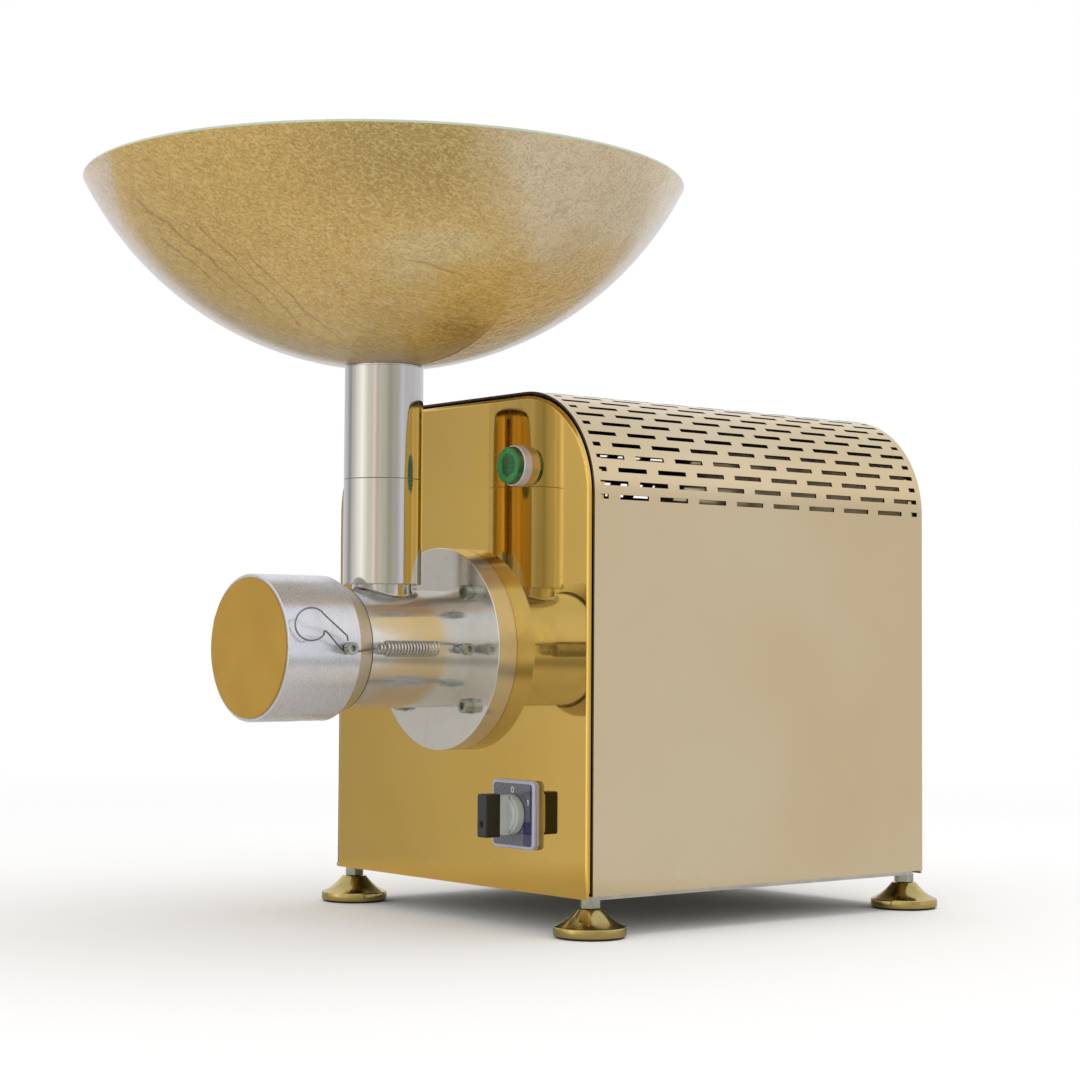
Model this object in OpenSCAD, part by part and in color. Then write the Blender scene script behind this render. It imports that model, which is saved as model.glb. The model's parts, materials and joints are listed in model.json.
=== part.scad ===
// Nut butter grinder: a motor housing on levelling feet drives an auger and a pair
// of burrs in a turned barrel. A wide bowl feeds the barrel from above, and the
// grinding cap at the barrel's nose is held by two side springs.
// Frame: +X right and -Y towards the user, +Z up; the floor is z = 0, and the
// origin is the centre of the whole machine's footprint.

/* [Housing] */
// Width of the housing
housing_w = 308; // [280:1:340]
// Depth of the housing, front face to rear face
housing_d = 332; // [325:1:380]
// Height of the housing above its feet
housing_h = 350; // [335:1:380]
// Radius of the two rounded top edges
shoulder_r = 77; // [60:1:90]
// Thickness of the folded sheet
sheet = 1.5; // [1:0.1:2]
// Thickness of the base plate
base_t = 2.5; // [2:0.5:4]
// Bend radius round the front pan's face
pan_bend_r = 3; // [2:0.5:4]
// Distance that the pans stand proud of the cover
pan_proud = 2.5; // [1:0.5:4]
// Depth of the pans' return flanges
pan_depth = 14; // [10:1:20]
// Shadow gap between a pan and the cover
pan_gap = 1.2; // [0.8:0.1:2]

/* [Vent slots] */
// Length of one slot
slot_len = 26; // [20:1:30]
// Width of one slot
slot_w = 3.3; // [2.5:0.1:3.8]
// Distance from slot to slot in a row
slot_pitch = 36.5; // [34:0.5:45]
// Distance from row to row, along the sheet
slot_row = 9.5; // [8:0.5:14]
// Plain margin at the cover's two ends
slot_margin = 5.5; // [4:0.5:12]

/* [Feet] */
// Height of the housing's underside above the floor
foot_h = 26; // [24:1:34]
// Diameter of a foot's pad
foot_d = 50; // [40:1:60]
// Diameter of a foot's threaded stud
stud_d = 8; // [6:1:10]
// Length of stud above the base plate
stud_in = 18; // [16:1:24]
// Distance of the studs from the housing's sides
foot_inset_x = 12; // [11:0.5:20]
// Distance of the studs from the housing's front and rear
foot_inset_y = 10; // [9.5:0.5:20]
// Width across flats of the foot's nuts
foot_nut_af = 13; // [12:0.5:16]

/* [Barrel] */
// Height of the barrel's axis above the housing's underside
axis_up = 168.5; // [155:0.5:180]
// Outer diameter of the barrel
barrel_d = 84; // [80:1:90]
// Bore of the barrel
barrel_bore = 54; // [50:1:58]
// Distance from the front panel to the barrel's nose
barrel_out = 114; // [112:1:125]
// Diameter of the barrel's flange
flange_d = 146; // [140:1:156]
// Thickness of the barrel's flange
flange_t = 16; // [12:1:20]
// Pitch circle of the flange bolts
flange_pcd = 114; // [108:1:120]
// Thread diameter of the flange bolts
bolt_d = 6; // [5:1:8]

/* [Feed tube and bowl] */
// Distance of the feed tube's axis from the front panel
tube_out = 65; // [60:1:70]
// Outer diameter of the feed tube
tube_d = 56; // [52:1:60]
// Wall of the feed tube
tube_wall = 3; // [2:0.5:4]
// Outer diameter of the welded neck
neck_d = 42.6; // [40:0.1:44]
// Wall of the welded neck
neck_wall = 3; // [2:0.5:4]
// Gap between the barrel's top and the feed sleeve
neck_gap = 3; // [2:0.5:6]
// Length of the lower feed sleeve
sleeve_len = 74.5; // [60:0.5:90]
// Length of the bowl's tube above the sleeve
spigot_len = 81.5; // [70:0.5:95]
// Depth that the bowl's tube plugs into the sleeve
plug_len = 32; // [24:1:40]
// Radius of the bowl's rim
bowl_rim_r = 213; // [190:1:225]
// Radius of the sphere that the bowl is part of
bowl_curve_r = 240; // [230:1:260]
// Thickness of the bowl's wall
bowl_wall = 4; // [3:0.5:6]
// Thread diameter of the bowl's clamping ring
ring_thread_d = 50; // [48:1:51]

/* [Grinding cap] */
// Outer diameter of the cap
cap_d = 101; // [97:1:106]
// Distance from the front panel to the cap's front face
cap_out = 176; // [174:1:190]
// Distance from the front panel to the cap's rear edge
cap_back = 102.5; // [100:0.5:106]
// Length of the cap's conical rear band
cap_cone_len = 14.5; // [12:0.5:17]
// Outer diameter of the cap's rear edge
cap_tail_d = 86.8; // [86.5:0.1:92]
// Bore of the grinding chamber
chamber_d = 88; // [86:1:91]
// Thickness of the cap's front wall
cap_wall = 8.6; // [6:0.2:10]
// Diameter of the disc on the cap's front
disc_d = 96.4; // [90:0.2:98]
// Thickness of the disc on the cap's front
disc_t = 1.4; // [1:0.1:2]
// Length of the outlet slot under the cap
outlet_len = 28; // [22:1:30]
// Width of the outlet slot under the cap
outlet_w = 14; // [10:1:18]

/* [Burrs and auger] */
// Diameter of both burrs
burr_d = 73; // [70:0.5:83.5]
// Thickness of each burr
burr_t = 14; // [12:0.5:14.5]
// Grinding gap between the burrs
grind_gap = 0.4; // [0.2:0.1:0.8]
// Number of grooves in each burr's face
burr_grooves = 12; // [8:1:16]
// Radial clearance of the auger in the barrel
auger_gap = 0.5; // [0.4:0.1:1]
// Pitch of the auger's flight
auger_pitch = 28; // [24:1:32]
// Diameter of the auger's core
auger_core_d = 26; // [25:1:30]
// Diameter of the auger shaft
shaft_d = 16; // [14:1:18]

/* [Motor] */
// Diameter of the motor over its fins
motor_d = 140; // [132:1:150]
// Depth of the motor's cooling fins
fin_depth = 6; // [4:0.5:8]
// Number of cooling fins
fin_count = 24; // [16:1:36]
// Thickness of the motor plate
mount_t = 8; // [6:1:10]
// Length of the motor's finned shell
shell_len = 150; // [145:1:158]
// Thickness of the front end shield
front_shield_t = 22; // [20:1:24]
// Thickness of the rear end shield
rear_shield_t = 20; // [18:1:24]
// Length of the laminated cores
core_len = 90; // [80:1:95]
// Diameter of the motor shaft
motor_shaft_d = 20; // [18:1:22]
// Outer diameter of the motor bearings
bearing_d = 47; // [44:1:52]
// Width of the motor bearings
bearing_w = 14; // [12:1:15]
// Air gap between rotor and stator
air_gap = 0.6; // [0.4:0.1:1]
// Diameter of the rotor
rotor_d = 75; // [70:1:80]

/* [Springs and wires] */
// Wire diameter of the side springs
spring_wire = 1.5; // [1.2:0.1:1.6]
// Outer diameter of the side springs
spring_d = 11.5; // [10.5:0.1:12]
// Pitch of the springs' curls
spring_pitch = 2.6; // [2.5:0.05:2.7]
// Number of full curls of one spring
spring_curls = 16; // [14:1:16]
// Distance from the front panel to the spring posts
post_out = 26; // [25:0.5:27]
// Distance from the front panel to the cap's side screws
hook_out = 131; // [129:0.5:134]
// Thread diameter of the posts and the side screws
pin_d = 5; // [4:0.5:5]
// Wire diameter of the pull rings
pull_wire = 1.2; // [1:0.1:1.5]
// Outer diameter of the finger rings
finger_d = 23; // [20:0.5:26]

/* [Lamp and switch] */
// Distance of the lamp and the switch from the barrel's plane
control_x = 75; // [72:1:82]
// Height of the lamp above the housing's underside
lamp_up = 297.5; // [285:0.5:310]
// Diameter of the lamp's bezel
lamp_d = 29; // [26:0.5:32]
// Diameter of the hole that holds the lamp
lamp_hole_d = 22; // [20:0.5:24]
// Height of the switch above the housing's underside
switch_up = 53.5; // [48:0.5:60]
// Side of the switch's front plate
switch_w = 48; // [44:1:52]
// Thickness of the switch's front plate
switch_t = 5; // [4:0.5:6]
// Diameter of the switch's round hub
hub_d = 28; // [26:0.5:32]
// Width of the switch's handle
handle_w = 11; // [9:0.5:13]
// Height of the switch's handle
handle_h = 30; // [28:0.5:36]
// Distance from the front panel to the handle's front
handle_out = 32; // [28:0.5:36]

/* [Rear fittings] */
// Distance of the cable gland from the housing's left side
gland_inset = 54; // [44:1:64]
// Height of the cable gland above the housing's underside
gland_up = 40; // [35:1:60]
// Bore of the cable gland
gland_bore = 9; // [8:0.5:10]
// Distance that the cable gland stands out behind
gland_out = 22; // [18:1:26]

/* [Clearances] */
// Radial clearance of turning and sliding fits
run_gap = 0.05; // [0.02:0.01:0.08]
// Clearance between assembled fixed pieces
fit_gap = 0.05; // [0.02:0.01:0.1]

/* [Hidden] */
$fn = 96;

// Where the machine stands: the footprint's centre is the origin
bowl_reach = tube_out + bowl_rim_r;
rear_reach = housing_d + gland_out;
face_y = (bowl_reach - rear_reach) / 2;
axis_z = foot_h + axis_up;
cut = 1;

// Housing
pan_inset = sheet + pan_gap;
flat_half_w = housing_w / 2 - shoulder_r;
arc_z = housing_h - shoulder_r;
cover_len = housing_d - 2 * pan_proud;
floor_z = foot_h + base_t;
rows_per_arc = floor(PI / 2 * shoulder_r / slot_row);
rows_flat = floor(2 * flat_half_w / slot_row);
slots_half = ceil(cover_len / slot_pitch / 2);
foot_x = housing_w / 2 - foot_inset_x;
foot_ys = [foot_inset_y, housing_d - foot_inset_y];
nut_t = 6.5;
pad_top = foot_h - nut_t - 0.3;
pad_r = foot_d / 2;

// Barrel, from the panel's face: depths behind it are positive
barrel_r = barrel_d / 2;
flange_r = flange_d / 2;
bolt_r = bolt_d / 2;
head_r = bolt_d * 5 / 6;
washer_t = 1.6;
seal_w = 7;
seal_r = 17.5;
panel_hole_r = 24;
bolt_angles = [45, 135, 225, 315];

// Feed tube and bowl
tube_r = tube_d / 2;
neck_r = neck_d / 2;
sleeve_z0 = axis_z + barrel_r + neck_gap;
sleeve_z1 = sleeve_z0 + sleeve_len;
sleeve_floor = 5;
bowl_hole_r = ring_thread_d / 2 + fit_gap;
bowl_centre_z = sleeve_z1 + spigot_len + sqrt(pow(bowl_curve_r, 2) - pow(tube_r, 2));
bowl_rim_z = bowl_centre_z - sqrt(pow(bowl_curve_r, 2) - pow(bowl_rim_r, 2));
bowl_in_r = bowl_curve_r - bowl_wall;
gasket_t = 2;
ring_nut_r = tube_r + 6;
function bowl_in_z(r) = bowl_centre_z - sqrt(pow(bowl_in_r, 2) - r * r);
bowl_floor_z = bowl_in_z(ring_nut_r) + gasket_t;
ring_nut_t = 7;
plug_r = tube_r - tube_wall - run_gap;

// Grinding head
cap_r = cap_d / 2;
disc_front = -cap_out;
cap_front = disc_front + disc_t;
chamber_front = cap_front + cap_wall;
chamber_r = chamber_d / 2;
stator_front = -(barrel_out + burr_t);
rotor_back = stator_front - grind_gap;
rotor_front = rotor_back - burr_t;
groove_w = 3;
groove_d = 1.5;
nut_af = shaft_d * 1.5;
burr_nut_t = 9;
burr_screw_r = (barrel_bore + burr_d) / 4;
burr_screw_angles = [90, 210, 330];
shaft_front = rotor_front - burr_nut_t - 2;
outlet_y1 = -barrel_out - 2;
outlet_y0 = outlet_y1 - outlet_len;
auger_front = -barrel_out + 1;
auger_back = -flange_t - 3;
auger_r = barrel_bore / 2 - auger_gap;
coupling_r = seal_r - 5;
coupling_front = -barrel_out / 2;

// Motor
mount_back = sheet + mount_t;
shell_front = mount_back + front_shield_t;
shell_back = shell_front + shell_len;
shield_back = shell_back + rear_shield_t;
shell_r = motor_d / 2 - fin_depth;
core_r = shell_r - 5;
core_mid = (shell_front + shell_back) / 2;
rotor_r = rotor_d / 2;
bearing_in = 3;
fan_y0 = shield_back + 4;
fan_w = 16;
cowl_back = fan_y0 + fan_w + 6;
cowl_r = motor_d / 2;
motor_bolt_r = shell_r - 7;
mount_half_w = 48;
mount_r = flange_r + 3;

// Springs, posts and wires, as distances from the barrel's axis
spring_r = (spring_d - spring_wire) / 2;
spring_x = barrel_r + spring_d / 2 + 0.7;
spring_back = -post_out - 27;
coil_front = spring_back - spring_curls * spring_pitch;
small_r = 3;
rear_vents = 8;
rear_vent_len = 90;
rear_vent_up = 190;
gland_x = -(housing_w / 2 - gland_inset);
gland_body_r = 10;
gland_in = 14;
foot_notch_w = 24;
// Rear panel's screws: heights above the underside, distances from the sides and sizes
screw_ups = [30, 150, 262];
screw_insets = [30, 30, 36];
screw_r = 1.75;
screw_len = 5;
screw_head_r = 3.4;
screw_head_t = 2;
screw_key_r = 1.2;
pin_head_r = pin_d * 0.85;
pin_head_t = pin_d;
hook_wire_r = pull_wire / 2;
hook_x = cap_r + 5;
finger_r = (finger_d - pull_wire) / 2;
finger_turn = 22;
finger_x = cap_r + 1.6 + finger_r * sin(finger_turn);
finger_out = hook_out + 30;
finger_up = 16;

gold = [0.72, 0.58, 0.28];
champagne = [0.77, 0.71, 0.58];
steel = [0.78, 0.78, 0.79];
dark = [0.15, 0.15, 0.16];
motor_grey = [0.35, 0.37, 0.4];

// Places its children on the barrel's axis, with local +Z pointing into the housing
module on_axis() {
    translate([0, face_y, axis_z])
        rotate([-90, 0, 0])
            children();
}

// A turned piece on the barrel's axis, from [radius, depth] points
module turned(points) {
    on_axis()
        rotate_extrude()
            polygon(points);
}

// A turned ring on the barrel's axis
module ring(r0, r1, y0, y1) {
    turned([[r0, y0], [r1, y0], [r1, y1], [r0, y1]]);
}

// A cylinder parallel to the barrel, x to the right and z above the barrel's axis
module bar(x, z, r, y0, y1, sides = 96) {
    translate([x, face_y + y0, axis_z + z])
        rotate([-90, 0, 0])
            cylinder(r = r, h = y1 - y0, $fn = sides);
}

// A radial pin in the XZ plane, out along +X for side 1 and -X for side -1
module side_pin(side, y, z, r, x0, x1, sides = 96) {
    translate([side * x0, face_y + y, axis_z + z])
        rotate([0, side * 90, 0])
            cylinder(r = r, h = x1 - x0, $fn = sides);
}

// An upright outline, extruded from depth y0 to y1 behind the panel's face
module upright(y0, y1) {
    translate([0, face_y + y1, foot_h])
        rotate([90, 0, 0])
            linear_extrude(y1 - y0)
                children();
}

// The housing's arched outline, drawn in by inset
module arch(inset) {
    translate([-housing_w / 2 + inset, 0])
        square([housing_w - 2 * inset, arc_z]);
    translate([-flat_half_w, 0])
        square([2 * flat_half_w, housing_h - inset]);
    for (side = [-1, 1])
        translate([side * flat_half_w, arc_z])
            circle(r = shoulder_r - inset);
}

// A block on the housing, given by its low corner and size in panel coordinates
module block(x0, y0, z0, w, d, h) {
    translate([x0, face_y + y0, z0])
        cube([w, d, h]);
}

// Round bead that turns the front pan's face into its side walls
module pan_bead() {
    bead_x = housing_w / 2 - pan_inset - pan_bend_r;
    for (side = [-1, 1]) {
        translate([side * bead_x, face_y + pan_bend_r, foot_h])
            cylinder(r = pan_bend_r, h = arc_z);
        translate([side * flat_half_w, face_y + pan_bend_r, foot_h + arc_z])
            rotate([90, side > 0 ? 0 : -90, 0])
                rotate_extrude(angle = 90)
                    translate([shoulder_r - pan_inset - pan_bend_r, 0])
                        circle(r = pan_bend_r);
    }
    translate([-flat_half_w, face_y + pan_bend_r, foot_h + housing_h - pan_inset - pan_bend_r])
        rotate([0, 90, 0])
            cylinder(r = pan_bend_r, h = 2 * flat_half_w);
}

module pan_block() {
    upright(pan_bend_r, pan_depth)
        arch(pan_inset);
    upright(0, pan_bend_r)
        arch(pan_inset + pan_bend_r);
    pan_bead();
}

module front_panel() {
    color(gold)
        difference() {
            pan_block();
            intersection() {
                upright(sheet, pan_depth + cut)
                    arch(pan_inset + sheet);
                block(-housing_w, 0, floor_z + sheet, 2 * housing_w, housing_d, housing_h);
            }
            block(-housing_w, sheet, 0, 2 * housing_w, housing_d, floor_z);
            for (side = [-1, 1])
                block(side * foot_x - foot_notch_w / 2, sheet, floor_z - cut,
                    foot_notch_w, housing_d, 2 * sheet);
            bar(0, 0, panel_hole_r, -cut, sheet + cut);
            for (a = bolt_angles)
                bar(flange_pcd / 2 * cos(a), flange_pcd / 2 * sin(a), bolt_r + 0.3, -cut, sheet + cut);
            bar(control_x, lamp_up - axis_up, lamp_hole_d / 2 + 0.1, -cut, sheet + cut);
            bar(control_x, switch_up - axis_up, 8, -cut, sheet + cut);
        }
}

// One row of vent slots along the cover, lying at z = 0 with its middle at y = 0
module slot_row_cutter(shift) {
    reach = cover_len / 2 - slot_margin;
    for (k = [-slots_half : slots_half]) {
        mid = (k + shift) * slot_pitch;
        from = max(mid - slot_len / 2, -reach);
        to = min(mid + slot_len / 2, reach);
        if (to - from > 2)
            translate([-slot_w / 2, from, -2 * sheet])
                cube([slot_w, to - from, 4 * sheet]);
    }
}

module slot_cutters() {
    mid_y = face_y + housing_d / 2;
    for (side = [-1, 1])
        for (i = [0 : rows_per_arc])
            translate([side * flat_half_w, mid_y, foot_h + arc_z])
                rotate([0, side * (90 - i * slot_row / shoulder_r * 180 / PI), 0])
                    translate([0, 0, shoulder_r])
                        slot_row_cutter(i % 2 == 0 ? 0.5 : 0);
    for (j = [1 : rows_flat - 1])
        translate([-flat_half_w + j * 2 * flat_half_w / rows_flat, mid_y, foot_h + housing_h])
            slot_row_cutter((rows_per_arc + j) % 2 == 0 ? 0.5 : 0);
}

module cover() {
    color(champagne)
        difference() {
            upright(pan_proud, housing_d - pan_proud)
                difference() {
                    arch(0);
                    arch(sheet);
                }
            block(-housing_w, 0, 0, 2 * housing_w, housing_d, floor_z);
            slot_cutters();
        }
}

module rear_panel() {
    color(champagne)
        difference() {
            upright(housing_d - pan_depth, housing_d)
                arch(pan_inset);
            intersection() {
                upright(housing_d - pan_depth - cut, housing_d - sheet)
                    arch(pan_inset + sheet);
                block(-housing_w, 0, floor_z + sheet, 2 * housing_w, housing_d, housing_h);
            }
            block(-housing_w, 0, 0, 2 * housing_w, housing_d - sheet, floor_z);
            for (side = [-1, 1])
                block(side * foot_x - foot_notch_w / 2, 0, floor_z - cut,
                    foot_notch_w, housing_d - sheet, 2 * sheet);
            bar(gland_x, gland_up - axis_up, gland_body_r + 0.2, housing_d - sheet - cut, housing_d + cut);
            for (p = screw_places())
                bar(p[0], p[1], screw_r + 0.05, housing_d - sheet - cut, housing_d + cut);
            for (i = [0 : rear_vents - 1])
                block(-rear_vent_len / 2, housing_d - sheet - cut, foot_h + rear_vent_up + i * slot_row,
                    rear_vent_len, sheet + 2 * cut, slot_w);
        }
}

// Places of the rear panel's screws, from the barrel's axis
function screw_places() = [for (x = [-1, 1], i = [0 : len(screw_ups) - 1])
    [x * (housing_w / 2 - screw_insets[i]), screw_ups[i] - axis_up]];

module base_plate() {
    clip = 12;
    color(steel)
        difference() {
            translate([0, face_y, foot_h])
                linear_extrude(base_t)
                    polygon([[-housing_w / 2, sheet], [housing_w / 2, sheet],
                        [housing_w / 2, housing_d - sheet - clip],
                        [housing_w / 2 - clip, housing_d - sheet],
                        [-housing_w / 2 + clip, housing_d - sheet],
                        [-housing_w / 2, housing_d - sheet - clip]]);
            for (side = [-1, 1], y = foot_ys)
                translate([side * foot_x, face_y + y, foot_h - cut])
                    cylinder(r = stud_d / 2 + run_gap, h = base_t + 2 * cut);
        }
}

module panel_screws() {
    color(steel)
        for (p = screw_places()) {
            bar(p[0], p[1], screw_r, housing_d - sheet - screw_len, housing_d + screw_head_t / 2);
            difference() {
                bar(p[0], p[1], screw_head_r, housing_d, housing_d + screw_head_t);
                bar(p[0], p[1], screw_key_r, housing_d + screw_head_t * 0.4,
                    housing_d + screw_head_t + cut, 6);
            }
        }
}

// The motor plate: a disc on a column with a folded foot, which stands on the front pan's flange
module mount_plate() {
    bottom = floor_z + sheet;
    foot_len = 30;
    color(dark)
        difference() {
            union() {
                bar(0, 0, mount_r, sheet, mount_back);
                block(-mount_half_w, sheet, bottom, 2 * mount_half_w, mount_t, axis_z - bottom);
                block(-mount_half_w, mount_back - cut, bottom, 2 * mount_half_w, foot_len + cut, mount_t);
            }
            bar(0, 0, panel_hole_r, 0, mount_back + cut);
            for (a = bolt_angles)
                bar(flange_pcd / 2 * cos(a), flange_pcd / 2 * sin(a), bolt_r + fit_gap,
                    0, mount_back + cut);
        }
}

// One foot's pad: a rubber-edged disc with a conical top
module foot_pad(side, y) {
    top_r = 9;
    rim_h = 6.5;
    cone_z = 7.5;
    color(gold)
        translate([side * foot_x, face_y + y, 0])
            rotate_extrude()
                polygon([[0, 0], [pad_r - 1.5, 0], [pad_r - 1.5, 1], [pad_r, 1], [pad_r, rim_h],
                    [pad_r - 1, cone_z], [top_r, pad_top], [stud_d / 2 + fit_gap, pad_top],
                    [stud_d / 2 + fit_gap, cone_z], [0, cone_z]]);
}

module foot_stud(side, y) {
    color(steel)
        translate([side * foot_x, face_y + y, 7.5])
            cylinder(r = stud_d / 2, h = floor_z + stud_in - 7.5);
}

module foot_pad_front_left() { foot_pad(-1, foot_ys[0]); }
module foot_pad_front_right() { foot_pad(1, foot_ys[0]); }
module foot_pad_rear_left() { foot_pad(-1, foot_ys[1]); }
module foot_pad_rear_right() { foot_pad(1, foot_ys[1]); }
module foot_stud_front_left() { foot_stud(-1, foot_ys[0]); }
module foot_stud_front_right() { foot_stud(1, foot_ys[0]); }
module foot_stud_rear_left() { foot_stud(-1, foot_ys[1]); }
module foot_stud_rear_right() { foot_stud(1, foot_ys[1]); }

// Hexagonal nuts below and above the base plate, through which the studs run
module foot_nuts() {
    color(steel)
        for (side = [-1, 1], y = foot_ys, z = [foot_h - nut_t, floor_z])
            translate([side * foot_x, face_y + y, z])
                difference() {
                    rotate(30)
                        cylinder(r = foot_nut_af / sqrt(3), h = nut_t, $fn = 6);
                    translate([0, 0, -cut])
                        cylinder(r = stud_d / 2 + run_gap, h = nut_t + 2 * cut);
                }
}

module barrel_tube() {
    color(steel)
        difference() {
            ring(barrel_bore / 2, barrel_r, -barrel_out, -flange_t);
            translate([0, face_y - tube_out, axis_z])
                cylinder(r = neck_r - neck_wall, h = barrel_d);
            for (side = [-1, 1])
                side_pin(side, -post_out, 0, pin_d / 2 + fit_gap, barrel_r - 8, barrel_r + cut);
            for (a = burr_screw_angles)
                bar(burr_screw_r * cos(a), burr_screw_r * sin(a), 2 + fit_gap,
                    -barrel_out - cut, -barrel_out + 10);
        }
}

module barrel_flange() {
    color(steel)
        difference() {
            ring(coupling_r + 1, flange_r, -flange_t, 0);
            bar(0, 0, seal_r + fit_gap, -flange_t - cut, -flange_t + seal_w);
            for (a = bolt_angles)
                bar(flange_pcd / 2 * cos(a), flange_pcd / 2 * sin(a), bolt_r + fit_gap,
                    -flange_t - cut, cut);
        }
}

module flange_bolts() {
    color(steel)
        for (a = bolt_angles) {
            x = flange_pcd / 2 * cos(a);
            z = flange_pcd / 2 * sin(a);
            difference() {
                union() {
                    bar(x, z, bolt_r, -flange_t, mount_back);
                    bar(x, z, head_r + 0.6, -flange_t - washer_t, -flange_t);
                    bar(x, z, head_r, -flange_t - washer_t - bolt_d, -flange_t);
                }
                bar(x, z, bolt_r * 0.96, -flange_t - washer_t - bolt_d - cut,
                    -flange_t - washer_t - bolt_d / 2, 6);
            }
        }
}

module feed_neck() {
    color(steel)
        difference() {
            translate([0, face_y - tube_out, axis_z])
                cylinder(r = neck_r, h = sleeve_z0 + sleeve_floor - axis_z);
            translate([0, face_y - tube_out, axis_z])
                cylinder(r = neck_r - neck_wall, h = barrel_d);
            bar(0, 0, barrel_r, -barrel_out, 0);
        }
}

module feed_sleeve() {
    color(steel)
        translate([0, face_y - tube_out, 0])
            rotate_extrude()
                polygon([[neck_r, sleeve_z0], [tube_r, sleeve_z0], [tube_r, sleeve_z1],
                    [tube_r - tube_wall, sleeve_z1], [tube_r - tube_wall, sleeve_z0 + sleeve_floor],
                    [neck_r, sleeve_z0 + sleeve_floor]]);
}

// The bowl's tube: a plug that drops into the sleeve, the visible tube, a ledge under the
// bowl and a threaded end that passes through the bowl's hole
module hopper_tube() {
    ledge = bowl_centre_z - sqrt(pow(bowl_curve_r, 2) - pow(bowl_hole_r, 2)) - gasket_t;
    thread_r = ring_thread_d / 2;
    bore_r = plug_r - 2.5;
    color(steel)
        translate([0, face_y - tube_out, 0])
            difference() {
                rotate_extrude()
                    polygon([[bore_r, sleeve_z1 - plug_len], [plug_r, sleeve_z1 - plug_len],
                        [plug_r, sleeve_z1], [tube_r, sleeve_z1], [tube_r, ledge], [thread_r, ledge],
                        [thread_r, bowl_floor_z + ring_nut_t], [bore_r, bowl_floor_z + ring_nut_t]]);
                translate([0, 0, bowl_centre_z])
                    difference() {
                        sphere(r = bowl_curve_r - fit_gap, $fn = 200);
                        cylinder(r = thread_r, h = 3 * bowl_curve_r, center = true);
                    }
            }
}

module hopper_bowl() {
    color(gold)
        translate([0, face_y - tube_out, bowl_centre_z])
            difference() {
                union() {
                    difference() {
                        sphere(r = bowl_curve_r, $fn = 200);
                        sphere(r = bowl_in_r, $fn = 200);
                        translate([-bowl_curve_r * 2, -bowl_curve_r * 2, bowl_rim_z - bowl_centre_z])
                            cube(bowl_curve_r * 4);
                    }
                    translate([0, 0, bowl_rim_z - bowl_centre_z])
                        rotate_extrude()
                            translate([bowl_rim_r - bowl_wall / 2, 0])
                                circle(r = bowl_wall / 2, $fn = 48);
                }
                translate([0, 0, -bowl_curve_r * 2])
                    cylinder(r = bowl_hole_r, h = bowl_curve_r * 2);
            }
}

// Soft ring between the bowl's inside and the clamping ring
module bowl_gasket() {
    color(dark)
        translate([0, face_y - tube_out, 0])
            rotate_extrude()
                polygon([[bowl_hole_r, bowl_in_z(bowl_hole_r) + fit_gap],
                    [ring_nut_r, bowl_in_z(ring_nut_r) + fit_gap],
                    [ring_nut_r, bowl_floor_z], [bowl_hole_r, bowl_floor_z]]);
}

module bowl_ring_nut() {
    color(steel)
        translate([0, face_y - tube_out, bowl_floor_z])
            difference() {
                cylinder(r = ring_nut_r, h = ring_nut_t);
                translate([0, 0, -cut])
                    cylinder(r = ring_thread_d / 2 + fit_gap, h = ring_nut_t + 2 * cut);
                for (a = [0 : 90 : 270])
                    rotate(a)
                        translate([ring_nut_r - 2, -2.5, -cut])
                            cube([3, 5, ring_nut_t + 2 * cut]);
            }
}

module grinding_cap() {
    slot_mid = (outlet_y0 + outlet_y1) / 2;
    slot_half = (outlet_len - outlet_w) / 2;
    color(steel)
        difference() {
            turned([[0, cap_front], [cap_r, cap_front], [cap_r, -cap_back - cap_cone_len],
                [cap_tail_d / 2, -cap_back], [barrel_r + run_gap, -cap_back],
                [barrel_r + run_gap, -barrel_out], [chamber_r, -barrel_out],
                [chamber_r, chamber_front], [0, chamber_front]]);
            for (side = [-1, 1])
                side_pin(side, -hook_out, 0, pin_d / 2 + fit_gap, chamber_r - 2, cap_r + cut);
            for (s = [-1, 1])
                translate([0, face_y + slot_mid + s * slot_half, axis_z - cap_r - cut])
                    cylinder(r = outlet_w / 2, h = cap_r - chamber_r / 2);
            block(-outlet_w / 2, slot_mid - slot_half, axis_z - cap_r - cut,
                outlet_w, 2 * slot_half, cap_r - chamber_r / 2);
        }
}

module cap_disc() {
    color([0.73, 0.59, 0.25])
        ring(0, disc_d / 2, disc_front, cap_front);
}

// Grooves cut across a burr's face, leaning off the radius
module groove_cutters(y) {
    for (i = [0 : burr_grooves - 1])
        on_axis()
            rotate(i * 360 / burr_grooves + 20)
                translate([barrel_bore / 2 - 4, 6, y - groove_d])
                    cube([burr_d, groove_w, 2 * groove_d]);
}

module stator_burr() {
    color([0.55, 0.55, 0.56])
        difference() {
            ring(barrel_bore / 2, burr_d / 2, stator_front, -barrel_out);
            groove_cutters(stator_front);
            for (a = burr_screw_angles)
                bar(burr_screw_r * cos(a), burr_screw_r * sin(a), 2 + fit_gap,
                    stator_front - cut, -barrel_out + cut);
            for (a = burr_screw_angles)
                bar(burr_screw_r * cos(a), burr_screw_r * sin(a), 3.8,
                    stator_front - cut, stator_front + 4);
        }
}

module burr_screws() {
    color(steel)
        for (a = burr_screw_angles) {
            x = burr_screw_r * cos(a);
            z = burr_screw_r * sin(a);
            difference() {
                union() {
                    bar(x, z, 2, stator_front + 1, -barrel_out + 9);
                    bar(x, z, 3.7, stator_front + 0.6, stator_front + 4);
                }
                bar(x, z, 1.4, stator_front, stator_front + 2.6, 6);
            }
        }
}

module rotor_burr() {
    color([0.6, 0.6, 0.62])
        difference() {
            ring(shaft_d / 2 + fit_gap, burr_d / 2, rotor_front, rotor_back);
            groove_cutters(rotor_back);
        }
}

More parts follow.
